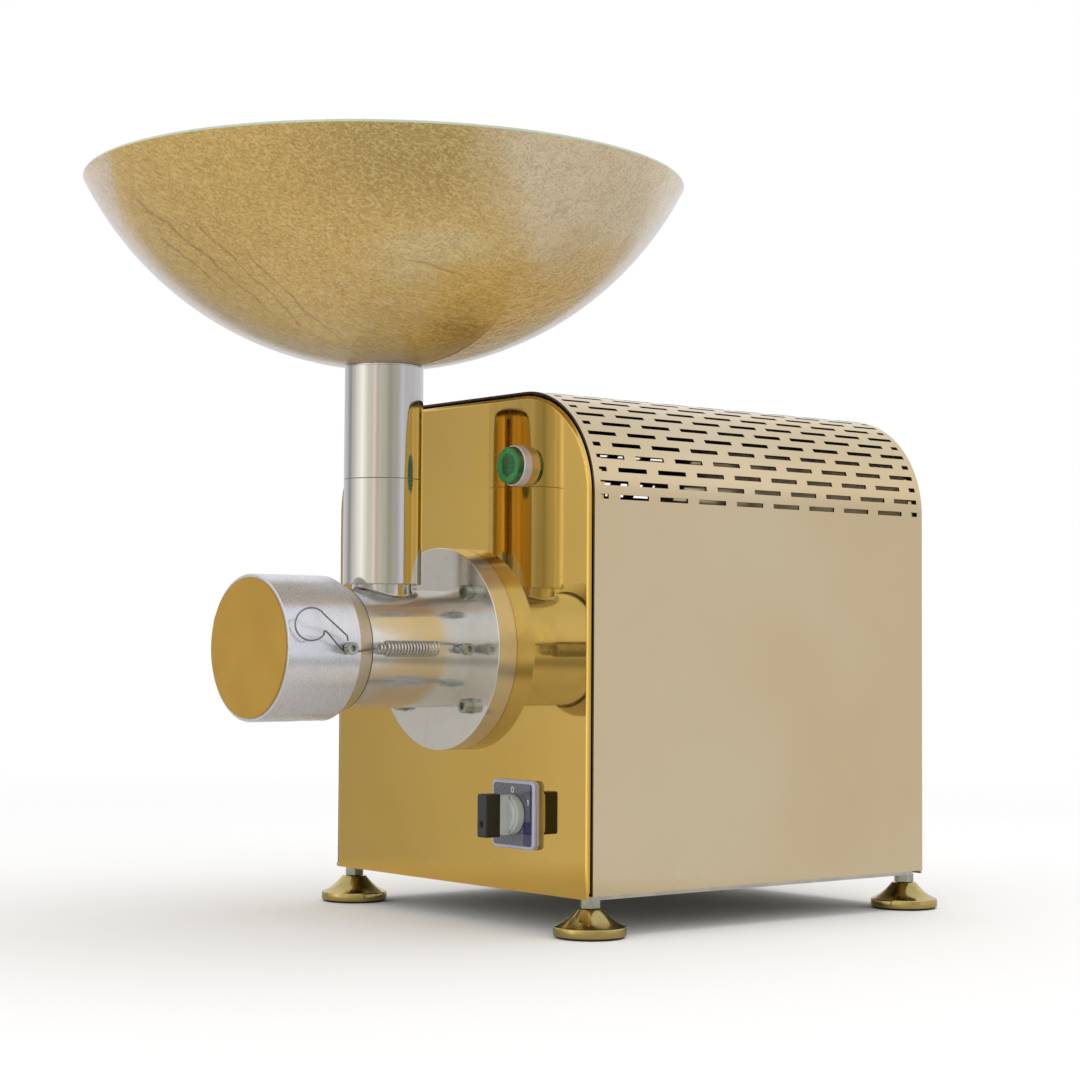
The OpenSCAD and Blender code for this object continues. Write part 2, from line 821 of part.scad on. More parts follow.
module burr_nut() {
    color(steel)
        difference() {
            bar(0, 0, nut_af / sqrt(3), rotor_front - burr_nut_t, rotor_front, 6);
            bar(0, 0, shaft_d / 2 + fit_gap, rotor_front - burr_nut_t - cut, rotor_front + cut);
        }
}

// The auger: one helical flight wound round its core, swept as a ribbon of four corners
flight_t = 5;
flight_steps = 18;
module auger_screw() {
    length = auger_back - auger_front;
    steps = floor((length - flight_t) / auger_pitch * flight_steps);
    core_r = auger_core_d / 2;
    corners = [[core_r - 1, flight_t], [auger_r, flight_t], [auger_r, 0], [core_r - 1, 0]];
    points = [for (i = [0 : steps], c = corners)
        let (a = 360 * i / flight_steps)
        [c[0] * cos(a), c[0] * sin(a), c[1] + i * auger_pitch / flight_steps]];
    walls = [for (i = [0 : steps - 1], k = [0 : 3])
        let (a = 4 * i + k, b = 4 * i + (k + 1) % 4)
        each [[a, a + 4, b + 4], [a, b + 4, b]]];
    base = 4 * steps;
    ends = [[0, 1, 2], [0, 2, 3], [base, base + 2, base + 1], [base, base + 3, base + 2]];
    color(steel) {
        on_axis()
            translate([0, 0, auger_front])
                polyhedron(points, concat(walls, ends));
        ring(shaft_d / 2 + fit_gap, core_r, auger_front, auger_back);
    }
}

// The auger's shaft, with a socket at its rear that fits the motor shaft
module auger_shaft() {
    color(steel)
        turned([[0, shaft_front], [shaft_d / 2, shaft_front], [shaft_d / 2, auger_back + fit_gap],
            [coupling_r, auger_back + fit_gap], [coupling_r, mount_back - 1],
            [motor_shaft_d / 2 + fit_gap, mount_back - 1], [motor_shaft_d / 2 + fit_gap, auger_back + 4],
            [0, auger_back + 4]]);
}

module shaft_seal() {
    color(dark)
        ring(coupling_r + run_gap, seal_r, -flange_t, -flange_t + seal_w);
}

module motor_shaft() {
    color(steel)
        ring(0, motor_shaft_d / 2, auger_back + 4.2, fan_y0 + fan_w);
}

module motor_rotor() {
    end_ring = 6;
    front = core_mid - core_len / 2;
    back = core_mid + core_len / 2;
    color([0.5, 0.5, 0.52])
        difference() {
            turned([[0, front - end_ring], [rotor_r - end_ring, front - end_ring],
                [rotor_r - end_ring, front], [rotor_r, front], [rotor_r, back],
                [rotor_r - end_ring, back], [rotor_r - end_ring, back + end_ring],
                [0, back + end_ring]]);
            bar(0, 0, motor_shaft_d / 2 + fit_gap, shell_front, shell_back);
        }
}

module cooling_fan() {
    hub_r = motor_shaft_d / 2 + 6;
    fan_r = cowl_r - 10;
    blades = 8;
    color(dark)
        difference() {
            union() {
                ring(0, hub_r, fan_y0, fan_y0 + fan_w);
                ring(0, fan_r, fan_y0 + fan_w - 2, fan_y0 + fan_w);
                for (i = [0 : blades - 1])
                    on_axis()
                        rotate(i * 360 / blades)
                            translate([hub_r - 1, -1, fan_y0])
                                cube([fan_r - hub_r, 2, fan_w - 1]);
            }
            bar(0, 0, motor_shaft_d / 2 + fit_gap, fan_y0 - cut, fan_y0 + fan_w + cut);
        }
}

module stator_core() {
    color([0.45, 0.45, 0.47])
        ring(rotor_r + air_gap, core_r - fit_gap, core_mid - core_len / 2, core_mid + core_len / 2);
}

// Copper end windings, a rounded ring at each end of the core
module stator_windings() {
    winding_w = 16;
    reach = (core_len + winding_w) / 2;
    color([0.72, 0.42, 0.2])
        for (s = [-1, 1])
            ring(rotor_r + 4, core_r - 7, core_mid + s * reach - winding_w / 2,
                core_mid + s * reach + winding_w / 2);
}

module motor_shell() {
    fin_t = 2.5;
    fin_margin = 3;
    color(motor_grey) {
        ring(core_r, shell_r, shell_front, shell_back);
        for (i = [0 : fin_count - 1])
            on_axis()
                rotate(i * 360 / fin_count)
                    translate([shell_r - 1, -fin_t / 2, shell_front + fin_margin])
                        cube([fin_depth + 1, fin_t, shell_len - 2 * fin_margin]);
    }
}

module motor_front_shield() {
    seat = bearing_d / 2 + fit_gap;
    color(motor_grey)
        difference() {
            turned([[motor_shaft_d / 2 + 3, mount_back], [shell_r, mount_back], [shell_r, shell_front],
                [seat, shell_front], [seat, shell_front - bearing_in - bearing_w],
                [motor_shaft_d / 2 + 3, shell_front - bearing_in - bearing_w]]);
            for (a = [0 : 90 : 270])
                bar(motor_bolt_r * cos(a), motor_bolt_r * sin(a), 2.5 + fit_gap,
                    mount_back + 6, shell_front + cut);
        }
}

module motor_rear_shield() {
    seat = bearing_d / 2 + fit_gap;
    color(motor_grey)
        difference() {
            turned([[seat, shell_back], [shell_r, shell_back], [shell_r, shield_back],
                [motor_shaft_d / 2 + 3, shield_back],
                [motor_shaft_d / 2 + 3, shell_back + bearing_in + bearing_w],
                [seat, shell_back + bearing_in + bearing_w]]);
            for (a = [0 : 90 : 270])
                bar(motor_bolt_r * cos(a), motor_bolt_r * sin(a), 2.5 + fit_gap,
                    shell_back - cut, shield_back + cut);
        }
}

module motor_bearings() {
    color(steel)
        for (y = [shell_front - bearing_in - bearing_w, shell_back + bearing_in])
            ring(motor_shaft_d / 2 + run_gap, bearing_d / 2, y, y + bearing_w);
}

module fan_cowl() {
    wall = 1.5;
    color(motor_grey)
        difference() {
            turned([[shell_r + fit_gap, shell_back + 8], [cowl_r, shell_back + 8], [cowl_r, cowl_back],
                [0, cowl_back], [0, cowl_back - wall], [cowl_r - wall, cowl_back - wall],
                [cowl_r - wall, shield_back + 1], [shell_r + fit_gap, shield_back + 1]]);
            for (i = [-4 : 4])
                block(-40, cowl_back - wall - cut, axis_z + i * 9 - 2, 80, wall + 2 * cut, 4);
        }
}

module motor_bolts() {
    color(steel)
        for (a = [0 : 90 : 270]) {
            x = motor_bolt_r * cos(a);
            z = motor_bolt_r * sin(a);
            bar(x, z, 2.5, mount_back + 6, shell_front);
            bar(x, z, 2.5, shell_back, shield_back);
            bar(x, z, 4, shield_back, shield_back + 3);
        }
}

// The cradle under the motor: two webs cut to the shell's round, on a foot plate
module motor_cradle() {
    web_half_w = 55;
    web_t = 5;
    color(dark)
        difference() {
            union() {
                for (y = [shell_front + 20, shell_back - 20 - web_t])
                    block(-web_half_w, y, floor_z, 2 * web_half_w, web_t, axis_z - floor_z - shell_r / 2);
                block(-web_half_w, shell_front + 10, floor_z, 2 * web_half_w, shell_len - 20, 3);
            }
            bar(0, 0, motor_d / 2 + fit_gap, mount_back, shell_back);
        }
}

// Points of a side spring with the direction of each from its coil's axis, in a frame
// with x out from the barrel, y into the housing and z up
spring_steps = 8;
function coil_point(turn, r, y) = let (a = 90 - 360 * turn)
    [[spring_x + r * cos(a), y, r * sin(a)], [cos(a), 0, sin(a)]];
function mix(a, b, t) = a + (b - a) * t;
hook_r = (pin_d + spring_wire) / 2 + 0.15;
post_wire_x = barrel_r + 3;
spring_hook = [for (a = [-110 : 30 : 70])
    [[post_wire_x, -post_out + hook_r * cos(a), hook_r * sin(a)], [1, 0, 0]]];
function lead_point(x, y, z) =
    [mix(post_wire_x, spring_x, x), mix(-post_out, spring_back, y), mix(hook_r, spring_r, z)];
spring_lead = [[lead_point(0.3, 0.4, 0.4), [1, 0, 0]], [lead_point(0.8, 0.75, 0.8), [1, 0, 0.5]]];
spring_coil = [for (i = [0 : spring_curls * spring_steps])
    coil_point(i / spring_steps, spring_r, spring_back - i / spring_steps * spring_pitch)];
spring_tail = [for (i = [1 : 2.5 * spring_steps])
    let (t = i / spring_steps)
    coil_point(t, mix(spring_r, small_r, min(t, 1)), coil_front - t * spring_pitch)];
spring_tip = [for (d = [1.2, 2.6])
    [[spring_x, coil_front - 2.5 * spring_pitch - d, -small_r - d * 0.1], [0, 0, -1]]];
spring_path = concat(spring_hook, spring_lead, spring_coil, spring_tail, spring_tip);

function unit(v) = v / norm(v);
function path_dir(path, i) = unit(path[min(i + 1, len(path) - 1)][0] - path[max(i - 1, 0)][0]);

// One unbroken tube along a path of [point, reference direction]
module wire_tube(path, r, sides = 6) {
    count = len(path);
    points = [for (i = [0 : count - 1])
        let (t = path_dir(path, i), n = unit(path[i][1] - (path[i][1] * t) * t), b = cross(t, n))
        for (k = [0 : sides - 1])
            path[i][0] + r * (cos(k * 360 / sides) * n + sin(k * 360 / sides) * b)];
    walls = [for (i = [0 : count - 2], k = [0 : sides - 1])
        let (a = i * sides + k, b = i * sides + (k + 1) % sides)
        each [[a, a + sides, b + sides], [a, b + sides, b]]];
    first = [for (k = [1 : sides - 2]) [0, k, k + 1]];
    base = (count - 1) * sides;
    last = [for (k = [1 : sides - 2]) [base, base + k + 1, base + k]];
    polyhedron(points, concat(walls, first, last));
}

module side_springs() {
    color(steel)
        translate([0, face_y, axis_z]) {
            wire_tube(spring_path, spring_wire / 2);
            mirror([1, 0, 0])
                wire_tube(spring_path, spring_wire / 2);
        }
}

// Least gap between parts of the spring more than half a curl apart along it
spring_least = min([for (i = [0 : len(spring_path) - 1], j = [i + 5 : len(spring_path) - 1])
    norm(spring_path[i][0] - spring_path[j][0])]) - spring_wire;
echo(spring_least_gap = spring_least);

// A socket-headed pin that stands out sideways, with its head from x1 to x2
module headed_pin(side, y, x0, x1, x2) {
    difference() {
        union() {
            side_pin(side, y, 0, pin_d / 2, x0, x1);
            side_pin(side, y, 0, pin_head_r, x1, x2);
        }
        side_pin(side, y, 0, pin_d * 0.46, x2 - pin_head_t / 2, x2 + cut, 6);
    }
}

module spring_posts() {
    color(steel)
        for (side = [-1, 1])
            headed_pin(side, -post_out, barrel_r - 7, post_wire_x + 2, post_wire_x + 2 + pin_head_t);
}

// The cap's side screws, each with a nut against the cap
module cap_screws() {
    color(steel)
        for (side = [-1, 1]) {
            headed_pin(side, -hook_out, chamber_r + 1, hook_x + 1.5, hook_x + 1.5 + pin_head_t);
            difference() {
                side_pin(side, -hook_out, 0, pin_d * 0.85, cap_r - 0.5, cap_r + 3.5, 6);
                side_pin(side, -hook_out, 0, pin_d / 2, cap_r - 1, cap_r + 4);
                on_axis()
                    translate([0, 0, -hook_out - 20])
                        cylinder(r = cap_r, h = 40);
            }
        }
}

// The pull wire's path: from the spring it winds once round the side screw, runs forward to
// the finger ring and comes back to the screw
loop_r = pin_d / 2 + hook_wire_r + 0.12;
hook_shift = 0.82;
link_y = coil_front - 2.5 * spring_pitch - 3.6;
neck_a = 25;
function loop_point(a) =
    [hook_x + hook_shift * (1 + (a + 90) / 180), -hook_out + loop_r * cos(a), loop_r * sin(a)];
function finger_point(a) = [finger_x + finger_r * cos(a) * sin(finger_turn),
    -finger_out + finger_r * cos(a) * cos(finger_turn), finger_up + finger_r * sin(a)];
pull_points = concat([[spring_x, link_y, 0], [spring_x + 1.2, link_y - 3, -0.4]],
    [for (a = [-90 : -30 : -480]) loop_point(a)],
    [[hook_x - hook_shift, -hook_out - 7, 1.5]],
    [for (a = [-neck_a : -15 : neck_a - 360]) finger_point(a)],
    [[hook_x, -hook_out - 3.5, 10.5], [hook_x, -hook_out - 1, 8.5], [hook_x, -hook_out, loop_r + 1.8]]);
pull_path = [for (p = pull_points) [p, [1, 0, 0.01]]];
pull_least = min([for (i = [0 : len(pull_points) - 1], j = [i + 4 : len(pull_points) - 1])
    norm(pull_points[i] - pull_points[j])]) - pull_wire;
echo(pull_wire_least_gap = pull_least);

module pull_wires() {
    color(steel)
        translate([0, face_y, axis_z]) {
            wire_tube(pull_path, hook_wire_r);
            mirror([1, 0, 0])
                wire_tube(pull_path, hook_wire_r);
        }
}

// A turned piece on the lamp's axis, from [radius, depth] points
module at_lamp() {
    translate([control_x, face_y, foot_h + lamp_up])
        rotate([-90, 0, 0])
            rotate_extrude()
                children();
}

lamp_r = lamp_d / 2;
bezel_t = 7;
lens_out = 11.3;
lens_edge = 0.8;
module lamp_lens() {
    color([0.05, 0.5, 0.25])
        at_lamp()
            polygon([[0, -lens_out], [lamp_r - 1.2 - lens_edge, -lens_out],
                [lamp_r - 1.2, -lens_out + lens_edge], [lamp_r - 0.6, -bezel_t],
                [lamp_r - 6, -bezel_t], [lamp_r - 6, -bezel_t - 1.5], [0, -bezel_t - 1.5]]);
}

module lamp_bezel() {
    color(steel)
        at_lamp()
            polygon([[lamp_r - 6.2, -bezel_t], [lamp_r, -bezel_t], [lamp_r, 0],
                [lamp_hole_d / 2, 0], [lamp_hole_d / 2, 26], [lamp_r - 6.2, 26]]);
}

module lamp_nut() {
    color(dark)
        at_lamp()
            polygon([[lamp_hole_d / 2 + fit_gap, sheet], [lamp_r, sheet], [lamp_r, sheet + 6],
                [lamp_hole_d / 2 + fit_gap, sheet + 6]]);
}

// Places its children on the switch's axis, with local +Z pointing into the housing
module at_switch() {
    translate([control_x, face_y, foot_h + switch_up])
        rotate([-90, 0, 0])
            children();
}

// A square plate with rounded corners, on the switch's axis
module switch_square(w, corner, y0, y1) {
    side = w / 2 - corner;
    at_switch()
        translate([0, 0, y0])
            linear_extrude(y1 - y0) {
                square([w, 2 * side], center = true);
                square([2 * side, w], center = true);
                for (x = [-1, 1], y = [-1, 1])
                    translate([x * side, y * side])
                        circle(r = corner);
            }
}

label_t = 0.8;
hub_back = -switch_t - 0.3;
hub_front = -20;
module switch_plate() {
    color([0.75, 0.75, 0.78])
        difference() {
            switch_square(switch_w, 4, -switch_t, 0);
            switch_square(switch_w - 5, 2.5, -switch_t - cut, -switch_t + label_t);
            at_switch()
                translate([0, 0, -switch_t - cut])
                    cylinder(r = 5 + run_gap, h = switch_t + 2 * cut);
        }
}

module switch_label() {
    color([0.3, 0.3, 0.4])
        difference() {
            switch_square(switch_w - 5.2, 2.5, -switch_t, -switch_t + label_t);
            at_switch()
                translate([0, 0, -switch_t - cut])
                    cylinder(r = 5 + run_gap, h = switch_t + 2 * cut);
        }
}

// The grey turning hub with its raised wing, on the switch's spindle
module switch_hub() {
    spindle_r = 5;
    color([0.62, 0.66, 0.62])
        at_switch() {
            translate([0, 0, hub_back - 6])
                cylinder(r = hub_d / 2, h = 6);
            translate([0, 0, hub_back - 8])
                cylinder(r = hub_d / 2 - 2, h = 3);
            translate([-handle_w / 2, -handle_h / 2 + 1, hub_front])
                cube([handle_w, handle_h - 4, hub_back - 7 - hub_front]);
            translate([0, 0, hub_back - 3])
                cylinder(r = spindle_r, h = 3 - hub_back + sheet + 6);
        }
}

// The black bar that caps the hub's wing, with a dimple low on its front
module switch_handle() {
    color(dark)
        at_switch()
            difference() {
                translate([-handle_w / 2, -handle_h / 2, -handle_out])
                    cube([handle_w, handle_h, handle_out + hub_front]);
                translate([0, handle_h / 2 - 9, -handle_out - cut])
                    cylinder(r = 2.2, h = 3);
            }
}

module switch_body() {
    body_side = 42;
    body_end = 46;
    color(dark)
        difference() {
            switch_square(body_side, 1.5, sheet, body_end);
            at_switch()
                translate([0, 0, -cut])
                    cylinder(r = 5 + 0.1, h = sheet + 8);
        }
}

module terminal_block() {
    ways = 4;
    way_w = 11;
    block_x = gland_x + 30;
    block_y = housing_d - 62;
    block_d = 24;
    color([0.85, 0.84, 0.8])
        difference() {
            block(block_x - ways * way_w / 2, block_y, floor_z, ways * way_w, block_d, 18);
            for (i = [0 : ways - 1])
                translate([block_x + (i - (ways - 1) / 2) * way_w,
                    face_y + block_y + block_d / 2, floor_z + 8])
                    cylinder(r = 3.2, h = 20);
        }
}

module run_capacitor() {
    can_r = 20;
    can_len = 90;
    can_inset = 50;
    wall_gap = 40;
    color([0.8, 0.8, 0.82])
        translate([housing_w / 2 - can_inset, face_y + housing_d - wall_gap - can_len, floor_z + can_r])
            rotate([-90, 0, 0]) {
                cylinder(r = can_r, h = can_len);
                translate([0, 0, -5])
                    cylinder(r = can_r - 3, h = 6);
            }
}

// The cable gland: a nut inside, a hexagon and a domed collar outside, round one bore
module cable_gland() {
    nut_r = 14;
    collar_r = 12.5;
    tip_r = 8.5;
    hex_h = 6;
    translate([gland_x, face_y + housing_d, foot_h + gland_up])
        rotate([-90, 0, 0])
            color(dark)
                difference() {
                    union() {
                        translate([0, 0, -gland_in])
                            cylinder(r = gland_body_r, h = gland_in + hex_h - 2);
                        translate([0, 0, -sheet - 5])
                            cylinder(r = nut_r, h = 5, $fn = 6);
                        cylinder(r = nut_r, h = hex_h, $fn = 6);
                        rotate_extrude()
                            polygon([[0, hex_h], [collar_r, hex_h], [collar_r, gland_out - 6],
                                [tip_r, gland_out], [0, gland_out]]);
                    }
                    translate([0, 0, -gland_in - cut])
                        cylinder(r = gland_bore / 2, h = gland_in + gland_out + 2 * cut);
                }
}

front_panel();
cover();
rear_panel();
base_plate();
panel_screws();
mount_plate();
foot_pad_front_left();
foot_pad_front_right();
foot_pad_rear_left();
foot_pad_rear_right();
foot_stud_front_left();
foot_stud_front_right();
foot_stud_rear_left();
foot_stud_rear_right();
foot_nuts();
barrel_tube();
barrel_flange();
flange_bolts();
feed_neck();
feed_sleeve();
hopper_tube();
hopper_bowl();
bowl_gasket();
bowl_ring_nut();
grinding_cap();
cap_disc();
stator_burr();
burr_screws();
rotor_burr();
burr_nut();
auger_screw();
auger_shaft();
shaft_seal();
motor_shaft();
motor_rotor();
cooling_fan();
stator_core();
stator_windings();
motor_shell();
motor_front_shield();
motor_rear_shield();
motor_bearings();
fan_cowl();
motor_bolts();
motor_cradle();
side_springs();
spring_posts();
cap_screws();
pull_wires();
lamp_lens();
lamp_bezel();
lamp_nut();
switch_plate();
switch_label();
switch_hub();
switch_handle();
switch_body();
terminal_block();
run_capacitor();
cable_gland();
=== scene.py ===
import json
import math
import bmesh
import bpy
import numpy as np
from mathutils import Matrix, Vector


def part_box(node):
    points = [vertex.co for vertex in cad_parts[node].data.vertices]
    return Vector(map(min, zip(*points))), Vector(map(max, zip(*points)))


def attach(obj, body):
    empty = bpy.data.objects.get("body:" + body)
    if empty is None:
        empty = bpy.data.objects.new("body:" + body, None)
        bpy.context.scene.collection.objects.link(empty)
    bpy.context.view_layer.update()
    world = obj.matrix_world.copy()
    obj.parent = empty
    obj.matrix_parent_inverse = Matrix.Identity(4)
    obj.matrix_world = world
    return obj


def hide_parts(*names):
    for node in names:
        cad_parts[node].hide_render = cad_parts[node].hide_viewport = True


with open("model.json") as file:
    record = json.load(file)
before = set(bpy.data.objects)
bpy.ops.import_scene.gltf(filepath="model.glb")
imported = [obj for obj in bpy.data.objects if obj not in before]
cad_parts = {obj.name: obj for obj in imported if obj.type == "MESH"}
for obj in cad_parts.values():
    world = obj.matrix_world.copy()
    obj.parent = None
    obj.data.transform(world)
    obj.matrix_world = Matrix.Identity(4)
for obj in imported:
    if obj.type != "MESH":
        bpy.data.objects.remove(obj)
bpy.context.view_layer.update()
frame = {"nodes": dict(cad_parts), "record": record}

# Sizes below are millimetres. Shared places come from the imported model.
mm = 0.001


def cornersOf(node):
    low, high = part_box(node)
    return np.array(low) / mm, np.array(high) / mm


def middleOf(node):
    low, high = cornersOf(node)
    return (low + high) / 2


faceY = cornersOf("front_panel")[0][1]  # front face of the panel
axisZ = middleOf("barrel_flange")[2]  # height of the barrel's axis
tubeY = middleOf("feed_sleeve")[1]  # the feed tube's axis
lampAt = middleOf("lamp_bezel")
switchAt = middleOf("switch_plate")
barrelCentre = (0, faceY, axisZ)
tubeCentre = (0, tubeY, 0)
lampCentre = (lampAt[0], faceY, lampAt[2])
switchCentre = (switchAt[0], faceY, switchAt[2])


# Shapes worked out as arrays

def addObject(name, data):
    thing = bpy.data.objects.new(name, data)
    bpy.context.scene.collection.objects.link(thing)
    return thing


def camelName(node):
    first, *others = node.split("_")
    return first + "".join(word.capitalize() for word in others)


def meshFromArrays(name, points, quads, bands=None):
    mesh = bpy.data.meshes.new(name)
    mesh.vertices.add(len(points))
    mesh.vertices.foreach_set("co", (np.asarray(points, float) * mm).ravel())
    mesh.loops.add(quads.size)
    mesh.loops.foreach_set("vertex_index", quads.ravel().astype(np.int32))
    mesh.polygons.add(len(quads))
    mesh.polygons.foreach_set("loop_start", np.arange(len(quads), dtype=np.int32) * 4)
    mesh.update(calc_edges=True)
    if bands is not None:
        mesh.polygons.foreach_set("material_index", np.asarray(bands, np.int32))
    return addObject(name, mesh)


def gridQuads(rows, cols, wrapRows=False, wrapCols=False):
    # Quad (i, j) joins the grid points (i, j), (i+1, j), (i+1, j+1) and (i, j+1)
    i = np.arange(rows if wrapRows else rows - 1)[:, None]
    j = np.arange(cols if wrapCols else cols - 1)[None, :]
    nextI, nextJ = (i + 1) % rows, (j + 1) % cols
    return np.stack([i * cols + j, nextI * cols + j, nextI * cols + nextJ, i * cols + nextJ], -1)


def skin(name, rows, wrapRows=False, angle=30, bands=None):
    # One closed skin over rings of points. Doubles are merged, which closes seams and poles, and every
    # face is turned outwards. Bands give each row of faces its material.
    points = np.asarray(rows, float)
    count, around = points.shape[:2]
    quads = gridQuads(count, around, wrapRows, True)
    if bands is not None:
        bands = np.repeat(np.asarray(bands)[:len(quads)], around)
    thing = meshFromArrays(name, points.reshape(-1, 3), quads.reshape(-1, 4), bands)
    work = bmesh.new()
    work.from_mesh(thing.data)
    bmesh.ops.remove_doubles(work, verts=work.verts, dist=1e-7)
    bmesh.ops.recalc_face_normals(work, faces=work.faces)
    work.to_mesh(thing.data)
    work.free()
    return smoothOver(thing, angle)


def smoothOver(thing, angle=30, keepSharp=True):
    mesh = thing.data
    mesh.polygons.foreach_set("use_smooth", np.ones(len(mesh.polygons), bool))
    mesh.set_sharp_from_angle(angle=math.radians(angle))
    evenOut = thing.modifiers.new("evenNormals", "WEIGHTED_NORMAL")
    evenOut.keep_sharp, evenOut.weight = keepSharp, 100
    return thing


def roundOff(points, radii, steps=4, closed=True):
    # Each corner becomes an arc that touches both of its edges
    points = [np.array(p, float) for p in points]
    out = []
    for k, here in enumerate(points):
        if radii[k] <= 0 or (not closed and k in (0, len(points) - 1)):
            out.append(here)
            continue
        before, after = points[k - 1] - here, points[(k + 1) % len(points)] - here
        lenB, lenA = np.linalg.norm(before), np.linalg.norm(after)
        before, after = before / lenB, after / lenA
        half = math.acos(np.clip(before @ after, -1, 1)) / 2
        if half > math.radians(89.5) or half < math.radians(1):
            out.append(here)
            continue
        r = min(radii[k], 0.45 * min(lenB, lenA) * math.tan(half))
        centre = here + (before + after) / np.linalg.norm(before + after) * r / math.sin(half)
        start = here + before * r / math.tan(half) - centre
        end = here + after * r / math.tan(half) - centre
        turn = math.acos(np.clip(start @ end / r / r, -1, 1))
        for t in np.linspace(0, 1, steps + 1):
            a, b = math.sin((1 - t) * turn), math.sin(t * turn)
            out.append(centre + (a * start + b * end) / math.sin(turn))
    return np.array(out)


def lathe(name, profile, axis, centre, segments=160, closed=True, bands=None):
    # point = centre + radius (cos t U + sin t V) + height A, for each [radius, height] of the profile
    profile = np.asarray(profile, float)
    along = np.eye(3)["xyz".index(axis)]
    u, v = np.roll(along, 1), np.roll(along, 2)
    t = np.linspace(0, 2 * np.pi, segments, endpoint=False)
    spoke = np.cos(t)[:, None] * u + np.sin(t)[:, None] * v
    points = (np.asarray(centre, float) + profile[:, 0, None, None] * spoke[None]
              + profile[:, 1, None, None] * along)
    return skin(name, points, closed, bands=bands)


def sweep(name, path, guide, radius, sides):
    # A round tube: ring k stands square to the path at its point k, and guide sets where it starts
    ahead = np.gradient(path, axis=0)
    ahead /= np.linalg.norm(ahead, axis=1)[:, None]
    guide = np.broadcast_to(np.asarray(guide, float), path.shape)
    side = guide - (guide * ahead).sum(1)[:, None] * ahead
    side /= np.linalg.norm(side, axis=1)[:, None]
    other = np.cross(ahead, side)
    t = np.linspace(0, 2 * np.pi, sides, endpoint=False)
    ring = np.cos(t)[None, :, None] * side[:, None] + np.sin(t)[None, :, None] * other[:, None]
    ends = [np.repeat(path[k, None, None], sides, 1) for k in (0, -1)]
    return skin(name, np.concatenate([ends[0], path[:, None] + radius * ring, ends[1]]), angle=60)


def smoothPath(points, count):
    # Catmull-Rom curve through given points, as cubic blends of four neighbours
    p = np.asarray(points, float)
    p = np.vstack([2 * p[0] - p[1], p, 2 * p[-1] - p[-2]])
    s = np.linspace(0, len(p) - 3 - 1e-9, count)
    k = s.astype(int)
    t = (s - k)[:, None]
    a, b, c, d = p[k], p[k + 1], p[k + 2], p[k + 3]
    return 0.5 * (2 * b + (c - a) * t + (2 * a - 5 * b + 4 * c - d) * t ** 2
                  + (3 * b - a - 3 * c + d) * t ** 3)


def joined(name, parts):
    # Several meshes become one, each with its own faces
    with bpy.context.temp_override(active_object=parts[0], selected_editable_objects=parts,
                                   selected_objects=parts):
        bpy.ops.object.join()
    parts[0].name = parts[0].data.name = name
    return parts[0]


def mirroredX(thing, name):
    # The same shape on the other side of the machine, with its faces turned back outwards
    twin = addObject(name, thing.data.copy())
    twin.data.transform(Matrix.Scale(-1, 4, (1, 0, 0)))
    twin.data.flip_normals()
    for modifier in thing.modifiers:
        evenOut = twin.modifiers.new(modifier.name, modifier.type)
        evenOut.keep_sharp, evenOut.weight = True, 100
    return twin


def settle(thing):
    # Applies the modifiers, so that later steps see the final mesh
    seen = thing.evaluated_get(bpy.context.evaluated_depsgraph_get())
    mesh = bpy.data.meshes.new_from_object(seen)
    thing.modifiers.clear()
    thing.data = mesh
    return thing


def cutAway(thing, cutters):
    for cutter in cutters:
        hole = thing.modifiers.new("hole", "BOOLEAN")
        hole.operation, hole.solver, hole.object = "DIFFERENCE", "EXACT", cutter
    settle(thing)
    for cutter in cutters:
        bpy.data.objects.remove(cutter)
    return smoothOver(thing)


def cleanCopy(node, edge, angle=30):
    # The CAD shape with its triangles merged into flat faces and its edges broken by a small bevel
    mesh = frame["nodes"][node].data.copy()
    thing = addObject(camelName(node), mesh)
    mesh.materials.clear()
    work = bmesh.new()
    work.from_mesh(mesh)
    bmesh.ops.remove_doubles(work, verts=work.verts, dist=2e-6)
    bmesh.ops.dissolve_limit(work, angle_limit=math.radians(0.6), verts=work.verts, edges=work.edges)
    work.to_mesh(mesh)
    work.free()
    if "custom_normal" in mesh.attributes:
        mesh.attributes.remove(mesh.attributes["custom_normal"])
    if edge:
        bevel = thing.modifiers.new("brokenEdges", "BEVEL")
        bevel.width, bevel.segments = edge * mm, 2
        bevel.limit_method, bevel.angle_limit = "ANGLE", math.radians(angle)
    return smoothOver(thing, angle, not edge)


def seat(thing, body, slot, finishes, *nodes):
    # Hands a piece over: its body, its materials and the CAD nodes that it stands for
    finishes = finishes if isinstance(finishes, list) else [finishes]
    marks = np.zeros(len(thing.data.polygons), np.int32)
    thing.data.polygons.foreach_get("material_index", marks)
    thing.data.materials.clear()
    for name in finishes:
        thing.data.materials.append(finish[name])
    thing.data.polygons.foreach_set("material_index", np.minimum(marks, len(finishes) - 1))
    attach(thing, body)
    if nodes:
        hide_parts(*nodes)


# Shader values and shared effects

class Value:
    # What a node puts out. Sums and products of values add the nodes that work them out.
    def __init__(self, tree, socket):
        self.tree, self.socket = tree, socket

    def __add__(self, other):
        return maths("ADD", self, other)

    def __sub__(self, other):
        return maths("SUBTRACT", self, other)

    def __rsub__(self, other):
        return maths("SUBTRACT", other, self)

    def __mul__(self, other):
        return maths("MULTIPLY", self, other)

    def __truediv__(self, other):
        return maths("DIVIDE", self, other)

    def __abs__(self):
        return maths("ABSOLUTE", self)


def connect(value, socket):
    # Links a value to a socket, or sets a constant on it
    if isinstance(value, Value):
        value.tree.links.new(value.socket, socket)
    else:
        socket.default_value = value


